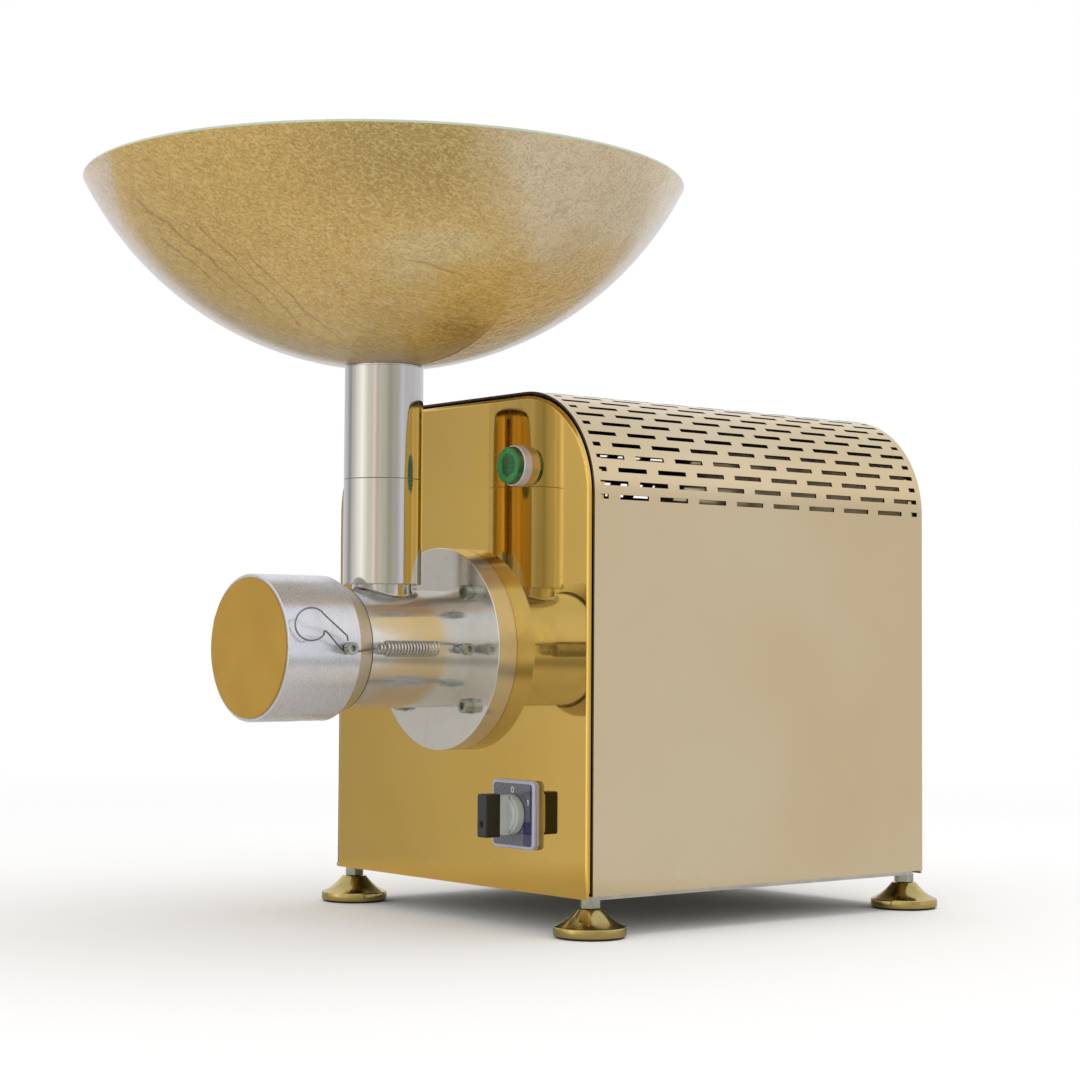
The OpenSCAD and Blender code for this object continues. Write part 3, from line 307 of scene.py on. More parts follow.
def addNode(tree, kind, inputs=None, **settings):
    node = tree.nodes.new(kind)
    for key, value in settings.items():
        setattr(node, key, value)
    for key, value in (inputs or {}).items():
        connect(value, node.inputs[key])
    return node


def put(tree, kind, inputs=None, out=0, **settings):
    return Value(tree, addNode(tree, kind, inputs, **settings).outputs[out])


def treeOf(*values):
    return next(value.tree for value in values if isinstance(value, Value))


def maths(operation, a, b=0.0):
    return put(treeOf(a, b), "ShaderNodeMath", {0: a, 1: b}, operation=operation)


def most(first, *others):
    for other in others:
        first = maths("MAXIMUM", first, other)
    return first


def clamped(value):
    return put(value.tree, "ShaderNodeClamp", {0: value})


def vectorMaths(operation, a, b=(0, 0, 0)):
    out = "Value" if operation in ("LENGTH", "DOT_PRODUCT") else 0
    return put(treeOf(a, b), "ShaderNodeVectorMath", {0: a, 1: b}, out, operation=operation)


def vectorFrom(x, y=0.0, z=0.0):
    return put(treeOf(x, y, z), "ShaderNodeCombineXYZ", {0: x, 1: y, 2: z})


def outputsOf(tree, kind, inputs=None):
    return {socket.name: Value(tree, socket) for socket in addNode(tree, kind, inputs).outputs}


def axesOf(vector):
    return outputsOf(vector.tree, "ShaderNodeSeparateXYZ", {0: vector}).values()


def remap(value, low, high, toLow=0.0, toHigh=1.0, curve="LINEAR"):
    return put(value.tree, "ShaderNodeMapRange", {0: value, 1: low, 2: high, 3: toLow, 4: toHigh},
               interpolation_type=curve)


def blend(factor, a, b):
    return put(treeOf(factor, a, b), "ShaderNodeMix", {0: factor, 6: a, 7: b}, 2, data_type="RGBA")


def mixShader(factor, a, b):
    return put(factor.tree, "ShaderNodeMixShader", {0: factor, 1: a, 2: b})


def noise(vector, scale, detail=2.0, roughness=0.5, distortion=0.0):
    return put(vector.tree, "ShaderNodeTexNoise", {"Vector": vector, "Scale": scale, "Detail": detail,
                                                   "Roughness": roughness, "Distortion": distortion}, "Fac")


def bump(height, depth):
    return put(height.tree, "ShaderNodeBump", {"Height": height, "Distance": depth * mm, "Strength": 1.0})


def sharedEffect(output="Mask", **inputs):
    # Makes a node group of the function below it, with these named inputs, where None stands for a
    # vector. A call of that function then places the group in a material.
    def build(recipe):
        tree = bpy.data.node_groups.new(recipe.__name__, "ShaderNodeTree")
        for label, value in inputs.items():
            kind = "NodeSocketVector" if value is None else "NodeSocketFloat"
            socket = tree.interface.new_socket(label, in_out="INPUT", socket_type=kind)
            if value is not None:
                socket.default_value = value
        tree.interface.new_socket(output, in_out="OUTPUT", socket_type="NodeSocketFloat")
        entry = tree.nodes.new("NodeGroupInput")
        result = recipe(*[Value(tree, entry.outputs[label]) for label in inputs])
        connect(result, tree.nodes.new("NodeGroupOutput").inputs[output])

        def place(*values):
            return put(treeOf(*values), "ShaderNodeGroup", dict(enumerate(values)), node_tree=tree)
        return place
    return build


@sharedEffect(Vector=None, Scale=100, Width=0.03, Breaks=0.5)
def hairLines(vector, scale, width, breaks):
    # Thin wandering lines: where a noise field crosses its middle value, broken up by a second noise
    away = abs(noise(vector, scale, 2, 0.6, 0.8) - 0.5)
    seen = remap(noise(vector, scale * 0.7, 1), breaks - 0.06, breaks + 0.06)
    return clamped(1.0 - away / width) * seen


@sharedEffect(Vector=None, Scale=8, Low=0.4, High=0.6)
def clouds(vector, scale, low, high):
    # Large soft patches, from 0 to 1
    return remap(noise(vector, scale, 3, 0.5, 0.4), low, high, curve="SMOOTHSTEP")


@sharedEffect("Height", Vector=None, Lines=1500)
def turningMarks(vector, lines):
    # Fine tool marks of a lathe about the Y axis: a noise of radius plus length alone
    x, y, z = axesOf(vector)
    radius = vectorMaths("LENGTH", vectorFrom(x, 0.0, z))
    return put(vector.tree, "ShaderNodeTexNoise", {"W": (radius + y) * lines, "Scale": 1.0, "Detail": 1.0},
               "Fac", noise_dimensions="1D")


@sharedEffect("Height", Vector=None, Scale=6)
def sheetWave(vector, scale):
    # The slow buckle of a thin polished sheet
    return noise(vector, scale, 1, 0.4) + noise(vector, scale * 5.0, 2) * 0.08


@sharedEffect(Vector=None, Scale=30)
def handlingMarks(vector, scale):
    # Faint finger marks and dust: soft blots crossed by specks
    blots = remap(noise(vector, scale, 4, 0.65, 1.2), 0.45, 0.75)
    dust = remap(noise(vector, scale * 22.0, 1), 0.72, 0.8)
    return clamped(blots + dust * 0.5)


@sharedEffect(Across=0, Height=0, Middle=None, Reach=None, Core=0.3)
def softSpot(across, height, middle, reach, core):
    # A soft oval patch on a surface laid out by two lengths: 1 in its middle, 0 from its edge on
    away = vectorMaths("SUBTRACT", vectorFrom(across, height), middle)
    far = vectorMaths("LENGTH", vectorMaths("DIVIDE", away, reach))
    return remap(far, core, 1.0, 1.0, 0.0, "SMOOTHSTEP")


@sharedEffect(Vector=None, Turn=None, Scale=200, Stretch=0.12)
def fibres(vector, turn, scale, stretch):
    # Short straight fibres: a noise stretched along one turned direction, cut off near its top
    turned = put(vector.tree, "ShaderNodeMapping", {"Vector": vector, "Rotation": turn})
    thin = vectorMaths("MULTIPLY", turned, vectorFrom(1.0, stretch, 1.0))
    return remap(noise(thin, scale, 1.0, 0.5, 0.25), 0.56, 0.68)


# Materials

def rgb(r, g, b):
    # A colour as seen on a screen, 0 to 255, as the linear values that a shader takes
    c = np.array([r, g, b]) / 255
    return (*np.where(c <= 0.04045, c / 12.92, ((c + 0.055) / 1.055) ** 2.4), 1.0)


def scaled(tone, share, lift=0.0):
    return [min(1, c * share + lift) for c in tone[:3]] + [1]


def newMaterial(name, centre=(0, 0, 0)):
    # A Principled surface and its Object coordinates, centred on a point given in millimetres
    material = bpy.data.materials.new(name)
    material.use_nodes = True
    tree = material.node_tree
    place = put(tree, "ShaderNodeTexCoord", out="Object")
    return material, put(tree, "ShaderNodeMapping", {"Vector": place,
                                                     "Location": [-c * mm for c in centre]})


def feed(material, **sockets):
    labels = {"colour": "Base Color", "coat": "Coat Weight", "coatRoughness": "Coat Roughness",
              "ior": "IOR", "transmission": "Transmission Weight", "specular": "Specular IOR Level"}
    shader = material.node_tree.nodes["Principled BSDF"]
    for key, value in sockets.items():
        connect(value, shader.inputs[labels.get(key, key.capitalize())])
    return material


def mirrorSheet(name, light, dark, haze, wave, patchScale):
    # Polished coloured sheet: crisp reflections, cloudy polish, hair scratches and a slow buckle
    material, place = newMaterial(name)
    patch = clouds(place, patchScale, 0.32, 0.68)
    marks = handlingMarks(place, 14.0)
    hair = hairLines(place, 26.0, 0.006, 0.56)
    rough = remap(patch, 0, 1, *haze) + marks * (haze[1] * 0.5) + hair * 0.12
    return feed(material, colour=blend(marks * 0.12, blend(patch, light, dark), rgb(205, 190, 160)),
                metallic=1.0, roughness=rough, normal=bump(sheetWave(place, 5.0), wave))


def turnedMetal(name, tone, low, high, stretch, lines, depth, metallic=1.0):
    # Lathe-turned metal about the barrel's axis: reflections smear across the grooves
    material, place = newMaterial(name, barrelCentre)
    height = turningMarks(place, lines)
    marks = handlingMarks(place, 38.0)
    # the tangent lies in the surface, square to the grooves
    normal = put(place.tree, "ShaderNodeNewGeometry", out="Normal")
    across = vectorMaths("CROSS_PRODUCT", normal, vectorMaths("CROSS_PRODUCT", (0, 1, 0), place))
    return feed(material, colour=blend(marks, tone, scaled(tone, 0.9)), metallic=metallic,
                anisotropic=stretch, tangent=vectorMaths("NORMALIZE", across),
                roughness=remap(height, 0.3, 0.7, low, high) + marks * 0.05, normal=bump(height, depth))


def plainMetal(name, tone, low, high, scale, depth=0.02, metallic=1.0):
    # Rolled, plated or cast metal: mottled tone and roughness with a fine grain
    material, place = newMaterial(name)
    patch = clouds(place, scale, 0.35, 0.65)
    return feed(material, colour=blend(patch, tone, scaled(tone, 0.86)), metallic=metallic,
                roughness=remap(patch, 0, 1, low, high), normal=bump(noise(place, scale * 14, 3), depth))


def drawnTube(name, tone, low, high):
    # Drawn and polished tube: faint streaks run along its length, with a few rubbed patches
    material, place = newMaterial(name, tubeCentre)
    lines = noise(put(place.tree, "ShaderNodeMapping", {"Vector": place, "Scale": (1, 1, 0.02)}), 260, 2)
    rough = remap(lines, 0.35, 0.65, low, high) + handlingMarks(place, 26.0) * 0.03
    return feed(material, colour=blend(remap(lines, 0.35, 0.65), tone, scaled(tone, 0.93)),
                metallic=1.0, roughness=rough, normal=bump(lines, 0.001))


def plastic(name, tone, rough, grain=900, depth=0.03, coat=0.0):
    # Moulded plastic: spark-eroded grain with a little wear and dust in it
    material, place = newMaterial(name)
    marks = handlingMarks(place, 60.0)
    return feed(material, colour=blend(marks * 0.35, tone, scaled(tone, 1.25, 0.02)), coat=coat,
                roughness=remap(marks, 0, 1, rough, min(1, rough + 0.15)),
                normal=bump(noise(place, grain, 2), depth))


# the leaf's colours; its sheen colour is a painted reflection
leaf = {"top": 525, "gold": rgb(210, 174, 98), "sheen": rgb(208, 190, 166), "shade": rgb(166, 136, 74),
        "dark": rgb(126, 98, 46), "bright": rgb(238, 214, 156), "crease": rgb(112, 86, 42)}
# painted reflections of the glass: soft patches of champagne, a pale highlight, orange and dark gold laid
# over the leaf
leafReflectionPatches = [  # colour, middle and reach along the bowl's width and below its rim in metres, core, strength
    (rgb(184, 156, 92), (0.03, -0.012), (0.10, 0.055), 0.2, 0.8),
    (rgb(226, 210, 184), (0.17, -0.02), (0.115, 0.085), 0.55, 0.95),
    (rgb(214, 194, 142), (0.045, -0.078), (0.06, 0.032), 0.3, 0.85),
    (rgb(212, 172, 90), (0.10, -0.098), (0.10, 0.034), 0.4, 0.85),
    (rgb(204, 166, 86), (0.155, -0.072), (0.05, 0.03), 0.3, 0.7),
    (rgb(164, 124, 40), (0.05, -0.12), (0.034, 0.018), 0.1, 0.7)]
leafCreases = [  # a x + b z = c lines along the bowl's width and below its rim, with the ends of each
    (0.649, 0.761, -0.1265, -0.165, -0.078), (0.649, 0.761, -0.1350, -0.150, -0.112),
    (0.670, 0.742, -0.1170, -0.120, -0.052), (0.640, 0.768, -0.1085, -0.086, -0.030),
    (0.200, 0.980, -0.0720, 0.020, 0.055)]
leafFibres = [  # turn and scale of each layer of strokes: three bright ones, then three dark ones
    ((0.3, 0.9, 0.2), 640.0), ((1.2, 0.1, 1.0), 560.0), ((0.7, 2.1, 0.5), 720.0),
    ((2.3, 0.6, 1.7), 600.0), ((1.8, 1.5, 2.6), 680.0), ((0.1, 2.7, 1.3), 550.0)]


def leafOutside():
    # Wrinkled metal leaf under clear glass: fine short strokes and a few long creases over gold. Painted
    # reflections lie over it: soft patches of champagne, orange and dark gold, and a pale painted sheen round
    # its flanks
    material, place = newMaterial("leafOutside", (0, tubeY, leaf["top"]))
    x, y, z = axesOf(place)
    shake = (noise(place, 14, 4, 0.6, 0.5) - 0.5) * 0.05
    across = x * 0.625 + y * 0.78
    wide, deep = across + shake, z + shake
    tone = leaf["gold"]
    # painted reflections: soft patches of colour laid over the leaf's gold
    for colour, middle, reach, core, strength in leafReflectionPatches:
        tone = blend(softSpot(wide, deep, (*middle, 0), (*reach, 1), core) * strength, tone, colour)
    # painted sheen: a pale reflection where the sphere's skin turns away from the camera's side, and along
    # the bowl's left edge
    front = vectorMaths("DOT_PRODUCT", place, (0.85, -0.51, 0.09))
    sheen = most(remap(front + shake * 0.4, 0.052, 0.024) * 0.75, remap(across, -0.174, -0.178))
    tone = blend(sheen * 0.85, tone, leaf["sheen"])
    small = noise(place, 60, 4, 0.65, 0.4)
    tone = blend(remap(small, 0.35, 0.7, 0.0, 0.25), tone, leaf["shade"])
    masks = [fibres(place, turn, scale, 0.15) for turn, scale in leafFibres]
    bright, dark = most(*masks[:3]), most(*masks[3:])
    crease = hairLines(place, 13.0, 0.007, 0.56) * 0.7
    drift = (noise(place, 30, 3) - 0.5) * 0.012
    for a, b, c, start, end in leafCreases:
        line = abs(across * a + z * b + drift - c)
        seen = remap(across, start, start + 0.01) * remap(across, end + 0.01, end)
        crease = most(crease, remap(line, 0.0009, 0.0001) * seen)
    tone = blend(dark * 0.3, tone, leaf["dark"])
    tone = blend(bright * 0.42, tone, leaf["bright"])
    tone = blend(crease * 0.42, tone, leaf["crease"])
    return feed(material, colour=tone, metallic=0.35, coat=1.0, coatRoughness=0.04,
                roughness=remap(small, 0.3, 0.7, 0.32, 0.46), normal=bump(bright - most(dark, crease), 0.09))


def leafInside():
    # The back of the leaf, seen through the glass from inside the bowl
    material, place = newMaterial("leafInside", (0, tubeY, 480))
    tone = blend(clouds(place, 11.0, 0.35, 0.65), rgb(186, 152, 84), rgb(198, 172, 122))
    lines = hairLines(place, 120.0, 0.04, 0.5)
    return feed(material, colour=blend(lines * 0.5, tone, rgb(140, 110, 56)), metallic=0.6, coat=1.0,
                coatRoughness=0.02, roughness=remap(lines, 0, 1, 0.35, 0.5))


def clearGlass(name, tone, rough=0.03):
    # Pale glass edge, smeared here and there
    material, place = newMaterial(name)
    marks = handlingMarks(place, 40.0)
    return feed(material, colour=blend(marks, tone, scaled(tone, 1.1)), transmission=0.3, ior=1.5,
                roughness=remap(marks, 0, 1, rough, rough + 0.1))


def satinDisc():
    # Satin gold film on a turned disc, with a fine grain and no figure on it
    material, place = newMaterial("satinDisc", barrelCentre)
    grain = noise(place, 700, 3)
    tone = blend(clouds(place, 22.0, 0.3, 0.7), rgb(184, 144, 50), rgb(176, 136, 43))
    return feed(material, colour=tone, metallic=0.35, roughness=remap(grain, 0.3, 0.7, 0.42, 0.54),
                normal=bump(grain, 0.01))


def greenLens():
    # Clear green lens: deep colour with a faint inner grid, and a painted highlight: a brighter ring round
    # its flat middle
    material, place = newMaterial("greenLens", lampCentre)
    x, _, z = axesOf(place)
    net = maths("MINIMUM", *[abs(maths("SINE", side * 900.0)) for side in (x, z)])
    cloud = noise(place, 160, 2)
    radius = vectorMaths("LENGTH", vectorFrom(x, 0.0, z))
    # painted highlight: the broad ring round the sunk middle is made brighter, for the light on its step
    ring = remap(radius, 0.0078, 0.0086) * remap(radius, 0.0128, 0.0112)
    tone = blend(remap(net, 0.0, 0.3), rgb(20, 112, 60), rgb(3, 84, 42))
    tone = blend(ring * 0.85, blend(cloud * 0.5, tone, rgb(0, 62, 30)), rgb(22, 132, 62))
    return feed(material, colour=tone, coat=1.0, coatRoughness=0.03,
                roughness=remap(cloud, 0.3, 0.7, 0.05, 0.12), normal=bump(net, 0.05))


def printedLabel():
    # Grey insert with a dark blue field low on the right
    material, place = newMaterial("printedLabel", switchAt)
    x, _, z = axesOf(place)
    grain = noise(place, 500, 2)
    edge = x + grain * 0.0006
    field = remap(edge, 0.0118, 0.0132) * remap(z, -0.0035, -0.0052)
    tone = blend(most(field, remap(edge, 0.0196, 0.0202)), rgb(84, 84, 96), rgb(16, 22, 80))
    return feed(material, colour=tone, coat=1.0, coatRoughness=0.05,
                roughness=remap(grain, 0.3, 0.7, 0.22, 0.32))


plainMetals = {  # tone, least and most roughness, mottling, depth of the grain, how metallic
    # the inside of the cover's sheet is a dark brown that paints the shade inside the housing
    "footBrass": ((196, 176, 112), 0.12, 0.2, 90, 0.002), "innerSheet": ((70, 60, 48), 0.45, 0.6, 30),
    # the sheet's cut edges, round its sides and slots, are raw steel darkened with the painted shade of the
    # gaps along them
    "cutEdge": ((92, 80, 62), 0.4, 0.55, 200), "plateSteel": ((200, 198, 190), 0.22, 0.36, 40),
    "darkSteel": ((60, 60, 62), 0.4, 0.55, 40), "zincPlate": ((178, 184, 174), 0.2, 0.38, 160),
    "polishedSteel": ((204, 203, 200), 0.06, 0.12, 60, 0.004),
    "springWire": ((214, 214, 210), 0.14, 0.24, 300, 0.004),
    "pullWire": ((150, 150, 154), 0.14, 0.24, 300, 0.004),
    "bezelChrome": ((214, 206, 214), 0.34, 0.42, 120, 0.004, 0.35),
    "burrSteel": ((150, 150, 150), 0.3, 0.45, 120), "coreSteel": ((120, 120, 122), 0.4, 0.5, 160),
    "copperWire": ((196, 120, 70), 0.25, 0.4, 260, 0.1)}
turnedMetals = {  # tone, least and most roughness, smear, grooves a metre, their depth, how metallic
    "barrelMetal": ((230, 231, 230), 0.13, 0.18, 0.8, 1900, 0.001, 0.8),
    "faceMetal": ((226, 222, 214), 0.1, 0.15, 0.5, 2600, 0.001, 0.85),
    "capMetal": ((226, 229, 238), 0.24, 0.29, 0.75, 1700, 0.0004, 0.7),
    "coneMetal": ((224, 223, 218), 0.42, 0.5, 0.3, 2600, 0.003)}
plastics = {  # tone, roughness, grain, its depth, clear coat
    "rubber": ((26, 25, 24), 0.6, 700, 0.05), "blackPlastic": ((13, 14, 15), 0.32),
    "handleFront": ((38, 42, 44), 0.42), "greyPlastic": ((172, 180, 174), 0.38),
    "whitePlastic": ((226, 224, 214), 0.4), "clearFrame": ((166, 167, 182), 0.12, 400, 0.01, 1.0),
    "printInk": ((232, 232, 236), 0.4, 600, 0.01), "motorGrey": ((96, 100, 106), 0.42, 500, 0.06)}
finish = {
    "goldMirror": mirrorSheet("goldMirror", rgb(234, 196, 105), rgb(227, 188, 97), (0.02, 0.05), 0.35, 5.0),
    "champagneMirror": mirrorSheet("champagneMirror", rgb(222, 205, 172), rgb(218, 198, 160), (0.07, 0.14),
                                   0.4, 4.0),
    "tubeSteel": drawnTube("tubeSteel", rgb(206, 205, 202), 0.05, 0.1),
    "glassEdge": clearGlass("glassEdge", rgb(206, 222, 196)),
    "leafOutside": leafOutside(), "leafInside": leafInside(), "satinDisc": satinDisc(),
    "greenLens": greenLens(), "printedLabel": printedLabel(),
}
for make, table in ((plainMetal, plainMetals), (turnedMetal, turnedMetals), (plastic, plastics)):
    for name, (tone, *values) in table.items():
        finish[name] = make(name, rgb(*tone), *values)
print("materials ready:", len(finish))


# Housing

coverSizes = {"shoulder": 77, "sheet": 1.5, "slotLength": 26, "slotWidth": 3.3, "pitch": 36.5,
              "row": 9.5, "margin": 5.5, "shortest": 2}


def coverSheet():
    # The arched sheet as a grid: s runs along the arch from its right foot to its left, y along its
    # depth. Grid lines fall on every slot's edges, and the quads inside the slots are left out.
    c = coverSizes
    low, high = cornersOf("cover")
    halfW, top, r = high[0], high[2], c["shoulder"]
    flatHalf, arcZ = halfW - r, top - r
    side, arc, flat = arcZ - low[2], np.pi / 2 * r, 2 * flatHalf
    total = 2 * side + 2 * arc + flat
    rowsArc, rowsFlat = int(arc // c["row"]), int(flat // c["row"])
    arcRows = np.arange(rowsArc + 1) * c["row"]
    arcShift = np.arange(rowsArc + 1) % 2 == 0
    flatRows = np.arange(1, rowsFlat) * flat / rowsFlat
    flatShift = (rowsArc + np.arange(1, rowsFlat)) % 2 == 0
    rowS = np.concatenate([side + arcRows, side + arc + flatRows, total - side - arcRows])
    rowShift = np.concatenate([arcShift, flatShift, arcShift])
    half = c["slotWidth"] / 2
    edges = [0, side / 2, side, side + arc, side + arc + flat / 2, side + arc + flat, total - side,
             total - side / 2, total]
    between = arcRows[:-1] + c["row"] / 2
    lines = [edges, rowS - half, rowS + half, side + between, total - side - between]
    s = np.unique(np.round(np.concatenate(lines), 4))
    depth = high[1] - low[1]
    reach = depth / 2 - c["margin"]
    count = int(np.ceil(depth / c["pitch"] / 2))
    spans = {}
    for shift in (True, False):
        mids = (np.arange(-count, count + 1) + (0.5 if shift else 0)) * c["pitch"]
        pairs = [(max(m - c["slotLength"] / 2, -reach), min(m + c["slotLength"] / 2, reach)) for m in mids]
        spans[shift] = [(start, end) for start, end in pairs if end - start > c["shortest"]]
    ends = [end for pairs in spans.values() for pair in pairs for end in pair]
    y = np.unique(np.round([-depth / 2, depth / 2, *ends], 4))
    # x and z along the arch, piece by piece: side, arc, flat, arc, side
    inward = np.clip((s - side) / r, 0, np.pi / 2)
    outward = np.clip((s - side - arc - flat) / r, 0, np.pi / 2)
    across = np.clip(s - side - arc, 0, flat)
    x = flatHalf + r * np.cos(inward) - across - r * np.sin(outward)
    z = np.where(s < side, low[2] + s, np.where(s > total - side, low[2] + total - s, arcZ))
    onArc = (s >= side) & (s <= total - side)
    z = np.where(onArc, arcZ + r * np.sin(inward) - r * (1 - np.cos(outward)), z)
    middle = (low[1] + high[1]) / 2
    points = np.stack(np.broadcast_arrays(x[:, None], middle + y[None, :], z[:, None]), -1)
    sMid, yMid = (s[:-1] + s[1:]) / 2, (y[:-1] + y[1:]) / 2
    cut = np.zeros((len(sMid), len(yMid)), bool)
    for place, shift in zip(rowS, rowShift):
        inRow = np.abs(sMid - place) < half
        for start, end in spans[bool(shift)]:
            cut |= inRow[:, None] & ((yMid > start) & (yMid < end))[None, :]
    used, index = np.unique(gridQuads(len(s), len(y))[~cut], return_inverse=True)
    thing = meshFromArrays("coverSheet", points.reshape(-1, 3)[used], index.reshape(-1, 4)[:, ::-1])
    wall = thing.modifiers.new("sheetThickness", "SOLIDIFY")
    wall.thickness, wall.offset = c["sheet"] * mm, -1
    wall.material_offset, wall.material_offset_rim = 1, 2
    wall.use_even_offset = True
    for name in coverFinishes:
        thing.data.materials.append(finish[name])
    return smoothOver(settle(thing), 25)


coverFinishes = ["champagneMirror", "innerSheet", "cutEdge"]  # outside, inside in painted shade, and cut edges darkened with painted shade
seat(coverSheet(), "housing", "champagne_mirror", coverFinishes, "cover")
seat(cleanCopy("front_panel", 0, 24), "housing", "gold_mirror", "goldMirror", "front_panel")
seat(cleanCopy("rear_panel", 0.3), "housing", "champagne_mirror", "champagneMirror", "rear_panel")
seat(cleanCopy("base_plate", 0.25), "housing", "steel_plate", "plateSteel", "base_plate")
print("housing sheets ready")


# Feet

footSizes = {"rim": 6.4, "lip": 1, "rubber": 1.2, "rubberIn": 1.5, "collar": 9.0, "flare": 1.8, "steps": 12,
             "bore": 4.1, "boreFrom": 8}
studSizes = {"pitch": 1.25, "depth": 0.55, "sides": 24, "rings": 6}


def footPad(node):
    # Rubber base, straight rim band and a flared cone that rises to the stud's collar
    f = footSizes
    low, high = cornersOf(node)
    middle = (low + high) / 2
    r, top = (high[0] - low[0]) / 2, high[2]
    t = np.linspace(0, 1, f["steps"])
    foot = f["rim"] + f["lip"]
    cone = np.stack([r - f["lip"] - (r - f["lip"] - f["collar"]) * t,
                     foot + (top - foot) * t - f["flare"] * np.sin(np.pi * t)], 1)
    inside = r - f["rubberIn"]
    start = [[0, 0], [inside - 0.2, 0], [inside, 0.2], [inside, f["rubber"]], [r - 0.5, f["rubber"]],
             [r, f["rubber"] + 0.5], [r, f["rim"]], [r - 0.5, f["rim"] + 0.9]]
    end = [[f["bore"], top], [f["bore"], f["boreFrom"]], [0, f["boreFrom"]]]
    profile = np.vstack([start, cone, end])
    bands = np.zeros(len(profile), int)
    bands[:3] = 1
    return lathe(camelName(node), profile, "z", (middle[0], middle[1], 0), 96, False, bands)


def threadedStud(node):
    # radius = r - depth * triangle wave of (height / pitch - angle), closed flat at both ends
    s = studSizes
    low, high = cornersOf(node)
    middle = (low + high) / 2
    turn = np.arange(s["sides"]) / s["sides"]
    z = np.append(np.arange(low[2], high[2], s["pitch"] / s["rings"]), high[2])[:, None]
    wave = np.abs(((z / s["pitch"] - turn) % 1) * 2 - 1)
    radius = np.pad((high[0] - low[0]) / 2 - s["depth"] * wave, ((1, 1), (0, 0)))
    points = [middle[0] + radius * np.cos(2 * np.pi * turn), middle[1] + radius * np.sin(2 * np.pi * turn),
              np.vstack([z[:1], z, z[-1:]])]
    return skin(camelName(node), np.stack(np.broadcast_arrays(*points), -1), False, 40)


for corner in ("front_left", "front_right", "rear_left", "rear_right"):
    foot, pad, stud = "foot_" + corner, "foot_pad_" + corner, "foot_stud_" + corner
    seat(footPad(pad), foot, "gold_mirror", ["footBrass", "rubber"], pad)
    seat(threadedStud(stud), foot, "fastener_steel", "zincPlate", stud)
print("feet ready")


# Barrel, flange, cap

barrelSizes = {"outer": 42, "bore": 27, "nose": -114, "flange": 16, "flangeR": 73, "neckBore": 18.3,
               "neckTop": 60, "edge": 0.5, "coupling": 13.5, "sides": 224}
capSizes = {"r": 50.5, "front": -174.6, "coneStart": -117, "back": -102.5, "tail": 43.4, "bore": 42.1,
            "step": -114, "chamber": 44, "inside": -166, "edge": 0.6, "outletFrom": -144, "outletTo": -116,
            "outletWide": 14, "outletTop": 30, "outletEnd": 60, "pinR": 2.55, "pinFrom": 30, "pinTo": 60,
            "pinAt": -131, "sealR": 43.1, "sealWire": 0.55, "discEdge": 0.45}


def barrelTube():
    b = barrelSizes
    profile = roundOff([[b["bore"], b["nose"]], [b["outer"], b["nose"]], [b["outer"], -b["flange"]],
                        [b["bore"], -b["flange"]]], [0.4, b["edge"], 0, 0])
    tube = lathe("barrelTube", profile, "y", barrelCentre, b["sides"])
    throat = lathe("throat", [[0, 0], [b["neckBore"], 0], [b["neckBore"], b["neckTop"]], [0, b["neckTop"]]],
                   "z", (0, tubeY, axisZ), 64)
    return cutAway(tube, [throat])


def barrelFlange():
    b = barrelSizes
    profile = roundOff([[b["coupling"], -b["flange"]], [b["flangeR"], -b["flange"]], [b["flangeR"], 0],
                        [b["coupling"], 0]], [0.3, b["edge"], b["edge"], 0.3])
    bands = np.zeros(len(profile), int)
    bands[:5] = 1  # the flat front face has the finer facing cut
    return lathe("barrelFlange", profile, "y", barrelCentre, b["sides"], True, bands)


def outletCutter():
    # The outlet's outline is a stadium: two half circles joined by straight sides
    c = capSizes
    r, middle = c["outletWide"] / 2, (c["outletFrom"] + c["outletTo"]) / 2
    half = (c["outletTo"] - c["outletFrom"]) / 2 - r
    t = np.linspace(0, 2 * np.pi, 48, endpoint=False)
    x, y = r * np.cos(t), r * np.sin(t) + np.where(np.sin(t) > 0, half, -half)
    under, over = axisZ - c["outletEnd"], axisZ - c["outletTop"]
    return skin("outletCutter", [np.stack([share * x, faceY + middle + share * y, np.full(t.shape, z)], 1)
                                 for share, z in ((0, under), (1, under), (1, over), (0, over))])


def grindingCap():
    c = capSizes
    profile = roundOff([[0, c["front"]], [c["r"], c["front"]], [c["r"], c["coneStart"]],
                        [c["tail"], c["back"]], [c["bore"], c["back"]], [c["bore"], c["step"]],
                        [c["chamber"], c["step"]], [c["chamber"], c["inside"]], [0, c["inside"]]],
                       [0, c["edge"], 0.5, 0.4, 0.3, 0, 0, 1, 0], 4, False)
    coneFrom = int(np.argmax(profile[:, 1] >= c["coneStart"]))
    bands = np.zeros(len(profile), int)
    bands[coneFrom:coneFrom + 9] = 1
    cap = lathe("grindingCap", profile, "y", barrelCentre, barrelSizes["sides"], False, bands)
    pin = lathe("pinHole", [[0, c["pinFrom"]], [c["pinR"], c["pinFrom"]], [c["pinR"], c["pinTo"]],
                            [0, c["pinTo"]]], "x", (0, faceY + c["pinAt"], axisZ), 32)
    pins = [settle(pin) for pin in (pin, mirroredX(pin, "pinHoleLeft"))]
    return cutAway(cap, [outletCutter(), *pins])


def capSeal():
    # A thin black ring behind the cap, along the dark line where the cap meets the barrel
    c = capSizes
    ring = [[c["sealR"] + c["sealWire"] * math.cos(a), c["back"] + c["sealWire"] * math.sin(a)]
            for a in np.linspace(0, 2 * np.pi, 12, endpoint=False)]
    return lathe("capSeal", ring, "y", barrelCentre)


